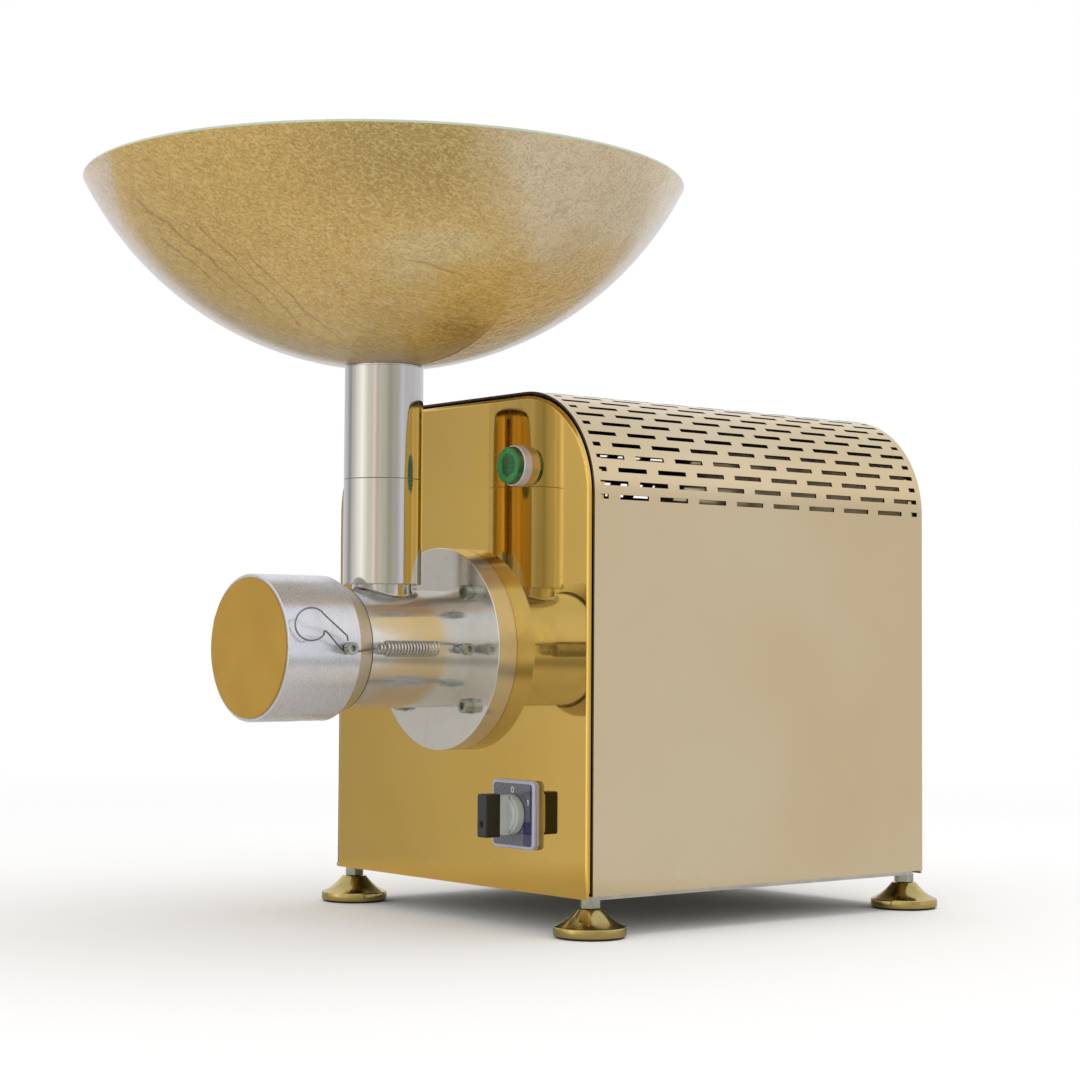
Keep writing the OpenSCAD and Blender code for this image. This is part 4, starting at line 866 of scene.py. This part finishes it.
def capDisc():
    low, high = cornersOf("cap_disc")
    r, front, back = (high[0] - low[0]) / 2, low[1] - faceY, high[1] - faceY
    profile = roundOff([[0, front], [r, front], [r, back], [0, back]], [0, capSizes["discEdge"], 0.1, 0],
                       4, False)
    return lathe("capDisc", profile, "y", barrelCentre, 192, False)


seat(barrelTube(), "housing", "turned_aluminium", "barrelMetal", "barrel_tube")
seat(barrelFlange(), "housing", "turned_aluminium", ["barrelMetal", "faceMetal"], "barrel_flange")
seat(grindingCap(), "cap", "turned_aluminium", ["capMetal", "coneMetal"], "grinding_cap")
seat(capSeal(), "cap", "rubber", "rubber")
seat(capDisc(), "cap", "label_gold", "satinDisc", "cap_disc")
print("barrel and cap ready")


# Feed tube and bowl

tubeSizes = {"r": 28, "wall": 3, "neckR": 21.3, "neckWall": 3, "floor": 5, "weld": 1.6, "bore": 22.45,
             "thread": 25, "ledge": 393.9, "play": 0.05, "sides": 192}
bowlSizes = {"sphere": 240, "wall": 4, "hole": 25.05, "rim": 213, "steps": 72}


def feedSleeve():
    t = tubeSizes
    low, high = cornersOf("feed_sleeve")
    z0, z1, inner, floor = low[2], high[2], t["r"] - t["wall"], low[2] + t["floor"]
    profile = roundOff([[t["neckR"], z0], [t["r"], z0], [t["r"], z1], [inner, z1], [inner, floor],
                        [t["neckR"], floor]], [0.2, 0.8, 0.35, 0.2, 1, 0.2])
    return lathe("feedSleeve", profile, "z", tubeCentre, t["sides"])


def hopperTube():
    t = tubeSizes
    low, high = cornersOf("hopper_tube")
    seam = cornersOf("feed_sleeve")[1][2]
    plug = t["r"] - t["wall"] - t["play"]
    profile = roundOff([[t["bore"], low[2]], [plug, low[2]], [plug, seam], [t["r"], seam + 0.15],
                        [t["r"], t["ledge"]], [t["thread"], t["ledge"]], [t["thread"], high[2]],
                        [t["bore"], high[2]]], [0.4, 0.6, 0, 0.35, 0.3, 0, 0.5, 0.4])
    return lathe("hopperTube", profile, "z", tubeCentre, t["sides"])


def feedNeck():
    # The neck's foot follows the barrel: at angle a its lowest point lies where the two cylinders
    # meet, and a weld bead r + w (1 - s)^2 spreads out there
    t = tubeSizes
    high = cornersOf("feed_sleeve")[0][2] + t["floor"]
    a = np.linspace(0, 2 * np.pi, 144, endpoint=False)
    inner = t["neckR"] - t["neckWall"]

    def skinHeight(radius):
        return axisZ + np.sqrt(barrelSizes["outer"] ** 2 - (radius * np.cos(a)) ** 2)

    rows = []
    for s in np.linspace(0, 1, 7):
        radius = t["neckR"] + t["weld"] * (1 - s) ** 2
        rows.append((radius, skinHeight(radius) - 0.25 + 1.1 * t["weld"] * s))
    rows += [(t["neckR"], np.full(a.shape, high - 0.2)), (t["neckR"], np.full(a.shape, high)),
             (inner, np.full(a.shape, high)), (inner, skinHeight(inner) - 6)]
    points = [np.stack([r * np.cos(a), tubeY + r * np.sin(a), h], -1) for r, h in rows]
    return skin("feedNeck", points, True, 40)


def hopperBowl():
    # Two spheres about one centre joined by a round bead at the rim: leaf outside, glass edge, and the
    # leaf's back inside
    b = bowlSizes
    inner, half = b["sphere"] - b["wall"], b["wall"] / 2
    rimZ = cornersOf("hopper_bowl")[1][2] - half
    centreZ = rimZ + math.sqrt(b["sphere"] ** 2 - b["rim"] ** 2)

    def arc(sphere, start, end):
        t = np.linspace(math.asin(start / sphere), math.asin(end / sphere), b["steps"])
        return np.stack([sphere * np.sin(t), centreZ - sphere * np.cos(t)], 1)

    turn = np.linspace(0, np.pi, 13)[1:-1]
    outer = arc(b["sphere"], b["hole"], b["rim"])
    bead = np.stack([b["rim"] - half + half * np.cos(turn), rimZ + half * np.sin(turn)], 1)
    profile = np.vstack([outer, bead, arc(inner, b["rim"] - b["wall"], b["hole"])])
    bands = np.full(len(profile), 2)
    bands[:len(outer) - 1] = 0
    bands[len(outer) - 1:len(outer) + len(bead)] = 1
    return lathe("hopperBowl", profile, "z", tubeCentre, 224, True, bands)


seat(feedSleeve(), "housing", "polished_steel", "tubeSteel", "feed_sleeve")
seat(feedNeck(), "housing", "polished_steel", "polishedSteel", "feed_neck")
seat(hopperTube(), "bowl", "polished_steel", "tubeSteel", "hopper_tube")
seat(hopperBowl(), "bowl", "leafed_glass", ["leafOutside", "glassEdge", "leafInside"], "hopper_bowl")
print("bowl and tube ready")


# Springs and pull wires

springSizes = {"wire": 1.5, "coilR": 5.0, "axisX": 48.45, "pitch": 2.6, "curls": 16, "back": -53,
               "post": -26, "postX": 45, "hookR": 3.4, "smallR": 3.0, "tailCurls": 2.5, "steps": 24}
wireSizes = {"wire": 1.2, "screw": -131, "loopX": 55.5, "loopR": 3.22, "shift": 0.82, "ringX": 56.18,
             "ringR": 10.9, "ringOut": -161, "ringUp": 16, "ringTurn": 22, "neck": 25}


def springPath():
    # Hook round the post, a lead-in, the coil r (cos a, sin a) with a falling one turn per pitch, and a
    # thin tail. It also gives where the pull wire's link begins.
    s = springSizes
    hook = [[s["postX"], s["post"] + s["hookR"] * math.cos(a), s["hookR"] * math.sin(a)]
            for a in np.radians(range(-110, 71, 10))]
    lead = [[s["postX"] + share * (s["axisX"] - s["postX"]), y, z]
            for share, y, z in ((0.3, -36.8, 4.05), (0.8, -46.3, 4.7))]

    def curls(turn, radius, start):
        angle = np.pi / 2 - 2 * np.pi * turn
        return np.stack([s["axisX"] + radius * np.cos(angle), start - turn * s["pitch"],
                         radius * np.sin(angle)], 1)

    coil = curls(np.arange(s["curls"] * s["steps"] + 1) / s["steps"], s["coilR"], s["back"])
    t = np.arange(1, int(s["tailCurls"] * s["steps"]) + 1) / s["steps"]
    front = s["back"] - s["curls"] * s["pitch"]
    tail = curls(t, s["coilR"] + (s["smallR"] - s["coilR"]) * np.minimum(t, 1), front)
    end = front - s["tailCurls"] * s["pitch"]
    tip = [[s["axisX"], end - d, -s["smallR"] - d * 0.1] for d in (1.2, 2.6)]
    start = smoothPath(hook + lead + [coil[0], coil[2]], 90)[:-8]
    return np.vstack([start, coil[1:], tail, tip]), end - 3.6


def pullPath(link):
    # From the spring once round the side screw, forward to the finger ring and back to the screw
    w, axisX = wireSizes, springSizes["axisX"]
    loop = [[w["loopX"] + w["shift"] * (1 + (a + 90) / 180),
             w["screw"] + w["loopR"] * math.cos(math.radians(a)),
             w["loopR"] * math.sin(math.radians(a))] for a in range(-90, -481, -30)]
    turn = math.radians(w["ringTurn"])
    ring = [[w["ringX"] + w["ringR"] * math.cos(a) * math.sin(turn),
             w["ringOut"] + w["ringR"] * math.cos(a) * math.cos(turn),
             w["ringUp"] + w["ringR"] * math.sin(a)]
            for a in np.radians(range(-w["neck"], w["neck"] - 361, -15))]
    points = ([[axisX, link, 0], [axisX + 1.2, link - 3, -0.4]] + loop
              + [[w["loopX"] - w["shift"], w["screw"] - 7, 1.5]] + ring
              + [[w["loopX"], w["screw"] - 3.5, 10.5], [w["loopX"], w["screw"] - 1, 8.5],
                 [w["loopX"], w["screw"], w["loopR"] + 1.8]])
    return smoothPath(points, 420)


def bothSides(name, path, lean, wire, sides):
    # A wire on the right of the barrel and its mirror image on the left, as one piece
    right = sweep(name + "Right", path + np.array([0, faceY, axisZ]), (1, 0, lean), wire / 2, sides)
    return joined(name, [right, mirroredX(right, name + "Left")])


springCurve, linkAt = springPath()
springs = bothSides("sideSprings", springCurve, 0.02, springSizes["wire"], 10)
wires = bothSides("pullWires", pullPath(linkAt), 0.01, wireSizes["wire"], 8)
seat(springs, "housing", "spring_steel", "springWire", "side_springs")
seat(wires, "cap", "spring_steel", "pullWire", "pull_wires")
print("springs and wires ready")


# Lamp and switch

lampSizes = {"r": 14.5, "bezel": 7.0, "out": 11.3, "flat": 7.7, "hole": 11, "bore": 8.3, "behind": 26,
             "sides": 128}
switchSizes = {"side": 48, "thick": 5, "corner": 4, "hub": 14, "hubOut": 13.3, "hubStep": 11.3,
               "hubBack": 5.3, "shaft": 5, "shaftEnd": 7.5, "handleW": 11, "handleH": 30, "handleOut": 32,
               "handleBack": 20, "dimple": 2.2, "dimpleDrop": 6}
plateLoops = [  # how far each loop lies inside the plate's outline, how much less its corner is, its depth
    (0.4, 0, 0), (0.4, 0, -0.9), (0, 0, -1.0), (0, 0, -1.9), (0.3, 0, -2.05), (0.6, 0, -2.1), (0.6, 0, -2.4),
    (0.15, 0, -2.45), (0.15, 0, -4.2), (1.1, 0.6, -5), (2.2, 1.2, -5), (2.5, 1.5, -4.8), (2.5, 1.5, -4.2)]
numberSizes = {"zeroAt": (0, 17.2), "oneAt": (17.6, 9.0), "outer": (1.55, 2.15), "inner": (1.0, 1.6),
               "ink": 0.06}
oneOutline = np.array([[-0.3, -2.1], [0.35, -2.1], [0.35, 2.1], [-0.1, 2.1], [-0.95, 1.35], [-0.75, 0.95],
                       [-0.3, 1.3]])


def lampLens():
    # A flat round lens: a sunk middle, a broad ring and a short side that ends under the bezel
    p = lampSizes
    r, front, back = p["r"], -p["out"], -p["bezel"]
    profile = roundOff([[0, front + 0.5], [p["flat"], front + 0.5], [p["flat"] + 0.5, front],
                        [r - 1.6, front], [r - 1.0, back - 0.3], [r - 1.3, back], [r - 6, back],
                        [r - 6, back - 1.5], [0, back - 1.5]], [0, 0.2, 0.3, 0.6, 0.1, 0, 0, 0, 0], 4, False)
    return lathe("lampLens", profile, "y", lampCentre, p["sides"], False)


def lampBezel():
    p = lampSizes
    profile = roundOff([[p["bore"], -p["bezel"]], [p["r"], -p["bezel"]], [p["r"], 0], [p["hole"], 0],
                        [p["hole"], p["behind"]], [p["bore"], p["behind"]]], [0.2, 1.0, 0.2, 0, 0.3, 0.3], 5)
    return lathe("lampBezel", profile, "y", lampCentre, p["sides"])


def roundedStack(name, loops, steps):
    # Rounded rectangles [half width, half height, corner radius, depth] about the switch's axis, joined
    t = np.linspace(0, 2 * np.pi, steps, endpoint=False)
    rows = []
    for halfX, halfZ, corner, depth in loops:
        x = corner * np.cos(t) + (halfX - corner) * np.sign(np.round(np.cos(t), 6))
        z = corner * np.sin(t) + (halfZ - corner) * np.sign(np.round(np.sin(t), 6))
        rows.append(np.stack([switchAt[0] + x, np.full(steps, faceY + depth), switchAt[2] + z], 1))
    return skin(name, rows, False, 28)


def switchPlate():
    # Stacked frame: a back gasket, a clear bevelled body and a raised lip round the label
    half, corner = switchSizes["side"] / 2, switchSizes["corner"]
    loops = [(half - inset, half - inset, corner - less, depth) for inset, less, depth in plateLoops]
    middle = (0.01, 0.01, 0.01)
    return roundedStack("switchPlate", [(*middle, 0), *loops, (*middle, loops[-1][3])], 64)


def roundedBar(name, halfX, halfZ, corner, steps):
    # A closed bar of rounded section. Each step is a depth and how much the section grows there.
    loops = [(halfX + grow, halfZ + grow, max(corner + min(grow, 0), 0.15), depth) for depth, grow in steps]
    return roundedStack(name, [(0, 0, 0, steps[0][0]), *loops, (0, 0, 0, steps[-1][0])], 48)


def switchNumbers():
    # The plain numbers 0, above, and 1, at the right, as thin raised ink
    n, ink = numberSizes, numberSizes["ink"]
    a = np.linspace(0, 2 * np.pi, 40, endpoint=False)
    oval = np.stack([np.cos(a), np.sin(a)], 1)

    def layer(outline, at, raised):
        depth = np.full(len(outline), faceY - switchSizes["thick"] - raised)
        return np.stack([switchAt[0] + at[0] + outline[:, 0], depth, switchAt[2] + at[1] + outline[:, 1]], 1)

    zero = skin("zero", [layer(oval * n[size], n["zeroAt"], raised) for size, raised in
                         (("outer", 0), ("outer", ink), ("inner", ink), ("inner", 0))], True)
    one = skin("one", [layer(oneOutline * share, n["oneAt"], raised) for share, raised in
                       ((0, 0), (1, 0), (1, ink), (0, ink))])
    return joined("switchNumbers", [zero, one])


def switchHub():
    s = switchSizes
    r, step, back, end = s["hub"], -s["hubStep"], -s["hubBack"], s["shaftEnd"]
    profile = roundOff([[0, -s["hubOut"]], [r - 3.4, -s["hubOut"]], [r - 2, -12.2], [r - 2, step], [r, step],
                        [r, back], [s["shaft"], back], [s["shaft"], end], [0, end]],
                       [0, 0.8, 0.3, 0.2, 1.0, 0.4, 0, 0.3, 0], 4, False)
    hub = lathe("hub", profile, "y", switchCentre, 128, False)
    wing = roundedBar("wing", s["handleW"] / 2, s["handleH"] / 2 - 1.2, 1.2,
                      [(-s["handleBack"], 0), (-12.3, 0)])
    return joined("switchHub", [hub, wing])


def switchHandle():
    # A bar with a soft front edge and a small dimple. Its faces that look straight forward take a lighter,
    # rougher copy of the black plastic.
    s = switchSizes
    front = -s["handleOut"]
    bar = roundedBar("switchHandle", s["handleW"] / 2, s["handleH"] / 2, 1.5,
                     [(front, -1.3), (front + 0.15, -0.65), (front + 0.6, -0.2), (front + 1.3, 0),
                      (-s["handleBack"], 0)])
    normals = np.zeros(len(bar.data.polygons) * 3)
    bar.data.polygons.foreach_get("normal", normals)
    marks = (normals.reshape(-1, 3)[:, 1] < -0.8).astype(np.int32)
    bar.data.polygons.foreach_set("material_index", marks)
    dimple = lathe("dimple", [[0, -40], [s["dimple"], -40], [s["dimple"], -30.2], [0, -29.6]], "y",
                   (switchAt[0], faceY, switchAt[2] - s["dimpleDrop"]), 32, False)
    return cutAway(bar, [settle(dimple)])


seat(lampLens(), "housing", "green_lens", "greenLens", "lamp_lens")
seat(lampBezel(), "housing", "bezel_chrome", "bezelChrome", "lamp_bezel")
seat(switchPlate(), "housing", "clear_frame", "clearFrame", "switch_plate")
seat(switchNumbers(), "housing", "white_plastic", "printInk")
seat(switchHub(), "switch_knob", "grey_plastic", "greyPlastic", "switch_hub")
seat(switchHandle(), "switch_knob", "black_plastic", ["blackPlastic", "handleFront"], "switch_handle")
print("lamp and switch ready")


# The other pieces keep their CAD shape, cleaned, with broken edges

cleanPieces = {  # finish and the width of the broken edges
    "flange_bolts": ("zincPlate", 0.35), "spring_posts": ("zincPlate", 0.25),
    "cap_screws": ("zincPlate", 0.25), "foot_nuts": ("zincPlate", 0.4), "panel_screws": ("zincPlate", 0.25),
    "bowl_ring_nut": ("polishedSteel", 0.4), "bowl_gasket": ("rubber", 0.2),
    "switch_label": ("printedLabel", 0), "lamp_nut": ("blackPlastic", 0.3),
    "switch_body": ("blackPlastic", 0.4), "cable_gland": ("blackPlastic", 0.5),
    "mount_plate": ("darkSteel", 0.4), "motor_cradle": ("darkSteel", 0.4), "motor_shell": ("motorGrey", 0.2),
    "motor_front_shield": ("motorGrey", 0.6), "motor_rear_shield": ("motorGrey", 0.6),
    "fan_cowl": ("motorGrey", 0.3), "motor_bolts": ("zincPlate", 0.3),
    "terminal_block": ("whitePlastic", 0.4), "run_capacitor": ("plateSteel", 0.6),
    "auger_screw": ("polishedSteel", 0), "auger_shaft": ("polishedSteel", 0.3),
    "stator_burr": ("burrSteel", 0.2), "rotor_burr": ("burrSteel", 0.2), "burr_nut": ("zincPlate", 0.3),
    "burr_screws": ("zincPlate", 0.2), "shaft_seal": ("rubber", 0.2),
    "motor_shaft": ("polishedSteel", 0.3), "motor_rotor": ("coreSteel", 0.3),
    "cooling_fan": ("blackPlastic", 0.2), "stator_core": ("coreSteel", 0.2),
    "stator_windings": ("copperWire", 1.5), "motor_bearings": ("polishedSteel", 0.4),
}
bodies = frame["record"]["behaviour"]["bodies"]
bodyOf = {node: body for body, nodes in bodies.items() for node in nodes}
slotOf = {part["node"]: part["material_slot"] for part in frame["record"]["subparts"]}
for node, (surface, edge) in cleanPieces.items():
    seat(cleanCopy(node, edge), bodyOf[node], slotOf[node], surface, node)
print("other pieces ready:", len(cleanPieces))


# Studio

studio = {"world": 0.95, "peak": 1.5, "band": (0.94, 0.93, 0.93), "ceiling": (0.78, 0.83, 0.92),
          "ground": (0.27, 0.25, 0.21), "floor": 0.9, "floorHalf": 30.0, "floorDrop": 0.0002,
          "floorShade": (0.56, 0.52, 0.44), "fade": (0.8, 2.0), "metalFade": (0.36, 0.52),
          "white": (1, 1, 1, 1), "target": (0, 0, 0.3)}
softBoxes = {  # azimuth, elevation, distance, width, height, power, tint
    "keyBox": (-100, 8, 2.2, 0.75, 1.6, 8.0, (1, 0.99, 0.96)),
    "topBox": (60, 78, 1.9, 1.4, 1.4, 9.0, (1, 1, 1)), "fillBox": (20, 25, 2.4, 0.8, 1.2, 4.0, (1, 1, 1))}
cameraPlace = {"at": (1.35357, -1.04337, 0.19531), "azimuth": 51.32, "pitch": 2.68, "roll": 0.36,
               "lens": 77.17, "sensor": 36, "nearest": 0.01}
walls = [  # the room's tones near the horizon: azimuth in degrees, then red, green and blue
    (-180, 0.76, 0.75, 0.80), (-162, 0.66, 0.65, 0.68), (-156, 0.47, 0.47, 0.49), (-150, 0.45, 0.45, 0.45),
    (-146, 0.44, 0.44, 0.43), (-140, 0.66, 0.64, 0.61), (-130, 0.84, 0.80, 0.74), (-116, 1.15, 1.10, 1.02),
    (-100, 1.47, 1.42, 1.30), (-90, 1.18, 1.16, 1.04), (-80, 0.92, 0.90, 0.80), (-70, 0.86, 0.82, 0.72),
    (-61, 1.10, 0.98, 0.84), (-54, 0.75, 0.66, 0.56), (-44, 0.77, 0.74, 0.63), (-28, 0.64, 0.62, 0.50),
    (-16, 0.47, 0.45, 0.37), (-6, 0.58, 0.56, 0.47), (5, 0.58, 0.56, 0.50), (12, 0.66, 0.65, 0.64),
    (20, 0.79, 0.79, 0.87), (34, 0.74, 0.72, 0.72), (60, 0.74, 0.74, 0.76), (110, 0.85, 0.85, 0.88),
    (180, 0.76, 0.75, 0.80)]


def makeCamera():
    c = cameraPlace
    a, p, roll = (math.radians(c[k]) for k in ("azimuth", "pitch", "roll"))
    ahead = Vector((-math.sin(a) * math.cos(p), math.cos(a) * math.cos(p), math.sin(p)))
    right = Vector((math.cos(a), math.sin(a), 0))
    up = right.cross(ahead)
    right, up = right * math.cos(roll) + up * math.sin(roll), up * math.cos(roll) - right * math.sin(roll)
    camera = addObject("camera", bpy.data.cameras.new("camera"))
    camera.matrix_world = Matrix.Translation(c["at"]) @ Matrix((right, up, -ahead)).transposed().to_4x4()
    camera.data.lens, camera.data.sensor_width = c["lens"], c["sensor"]
    camera.data.sensor_fit, camera.data.clip_start = "HORIZONTAL", c["nearest"]
    bpy.context.scene.camera = camera


def makeWorld():
    # White to the camera; to polished metal the same white with the tones of a room round it
    world = bpy.data.worlds.new("studioWorld")
    bpy.context.scene.world = world
    world.use_nodes = True
    tree = world.node_tree
    tree.nodes.clear()
    x, y, z = axesOf(put(tree, "ShaderNodeTexCoord", out="Generated"))
    turn = remap(maths("ARCTAN2", y, x), -math.pi, math.pi)
    ramp = addNode(tree, "ShaderNodeValToRGB", {0: turn})
    stops = ramp.color_ramp.elements
    while len(stops) < len(walls):
        stops.new(0.5)
    for stop, (degrees, *tone) in zip(stops, walls):
        stop.position = (degrees + 180) / 360
        stop.color = scaled(tone, 1 / studio["peak"])
    # over the walls a bright band and a cool ceiling, and under them a dim ground
    room = Value(tree, ramp.outputs[0])
    for low, high, level in ((0.12, 0.34, "band"), (0.55, 0.9, "ceiling"), (-0.14, -0.3, "ground")):
        room = blend(remap(z, low, high), room, scaled(studio[level], 1 / studio["peak"]))
    rays = outputsOf(tree, "ShaderNodeLightPath")
    soft, mirror, paper = (put(tree, "ShaderNodeBackground", {"Color": colour, "Strength": strength})
                           for colour, strength in ((studio["white"], studio["world"]),
                                                    (room, studio["peak"]), (studio["white"], 1.0)))
    lit = mixShader(most(rays["Is Glossy Ray"], rays["Is Transmission Ray"]), soft, mirror)
    addNode(tree, "ShaderNodeOutputWorld", {"Surface": mixShader(rays["Is Camera Ray"], lit, paper)})


def softBox(name, azimuth, elevation, distance, width, height, power, tint):
    # An area light on a sphere round the machine, turned to face it
    a, e = math.radians(azimuth), math.radians(elevation)
    target = Vector(studio["target"])
    at = target + distance * Vector((math.cos(a) * math.cos(e), math.sin(a) * math.cos(e), math.sin(e)))
    light = bpy.data.lights.new(name, "AREA")
    light.shape, light.size, light.size_y = "RECTANGLE", width, height
    light.energy, light.color = power, tint
    box = addObject(name, light)
    box.matrix_world = Matrix.Translation(at) @ (target - at).to_track_quat("-Z", "Y").to_matrix().to_4x4()
    box.visible_camera = box.visible_glossy = False


def makeFloor():
    # Away from the machine the paper fades into plain white for the camera and into the room's tones
    # for metal, and metal sees the paper itself in the shade of a workshop floor
    half = studio["floorHalf"]
    corners = [(x * half, y * half, -studio["floorDrop"]) for x, y in ((-1, -1), (1, -1), (1, 1), (-1, 1))]
    mesh = bpy.data.meshes.new("floor")
    mesh.from_pydata(corners, [], [(0, 1, 2, 3)])
    floor = addObject("floor", mesh)
    material, place = newMaterial("palePaper")
    tree, level = place.tree, studio["floor"]
    speck = (level * 0.98, level * 0.98, level * 0.97, 1)
    feed(material, colour=blend(noise(place, 40, 2) * 0.1, (level, level, level, 1), speck), roughness=0.9,
         specular=0.0)
    rays = outputsOf(tree, "ShaderNodeLightPath")
    away = vectorMaths("LENGTH", place)
    fade = most(remap(away, *studio["fade"], curve="SMOOTHSTEP"),
                remap(away, *studio["metalFade"]) * rays["Is Glossy Ray"])
    white = put(tree, "ShaderNodeEmission", {"Color": studio["white"], "Strength": 1.0})
    shade = put(tree, "ShaderNodeBsdfDiffuse", {"Color": (*studio["floorShade"], 1)})
    paper = Value(tree, tree.nodes["Principled BSDF"].outputs[0])
    near = mixShader(rays["Is Glossy Ray"], paper, shade)
    beyond = mixShader(rays["Is Camera Ray"], put(tree, "ShaderNodeBsdfTransparent"), white)
    connect(mixShader(fade, near, beyond), tree.nodes["Material Output"].inputs["Surface"])
    mesh.materials.append(material)


makeCamera()
makeWorld()
makeFloor()
for name, settings in softBoxes.items():
    softBox(name, *settings)
bpy.context.scene.view_settings.view_transform = "Standard"
print("studio ready")
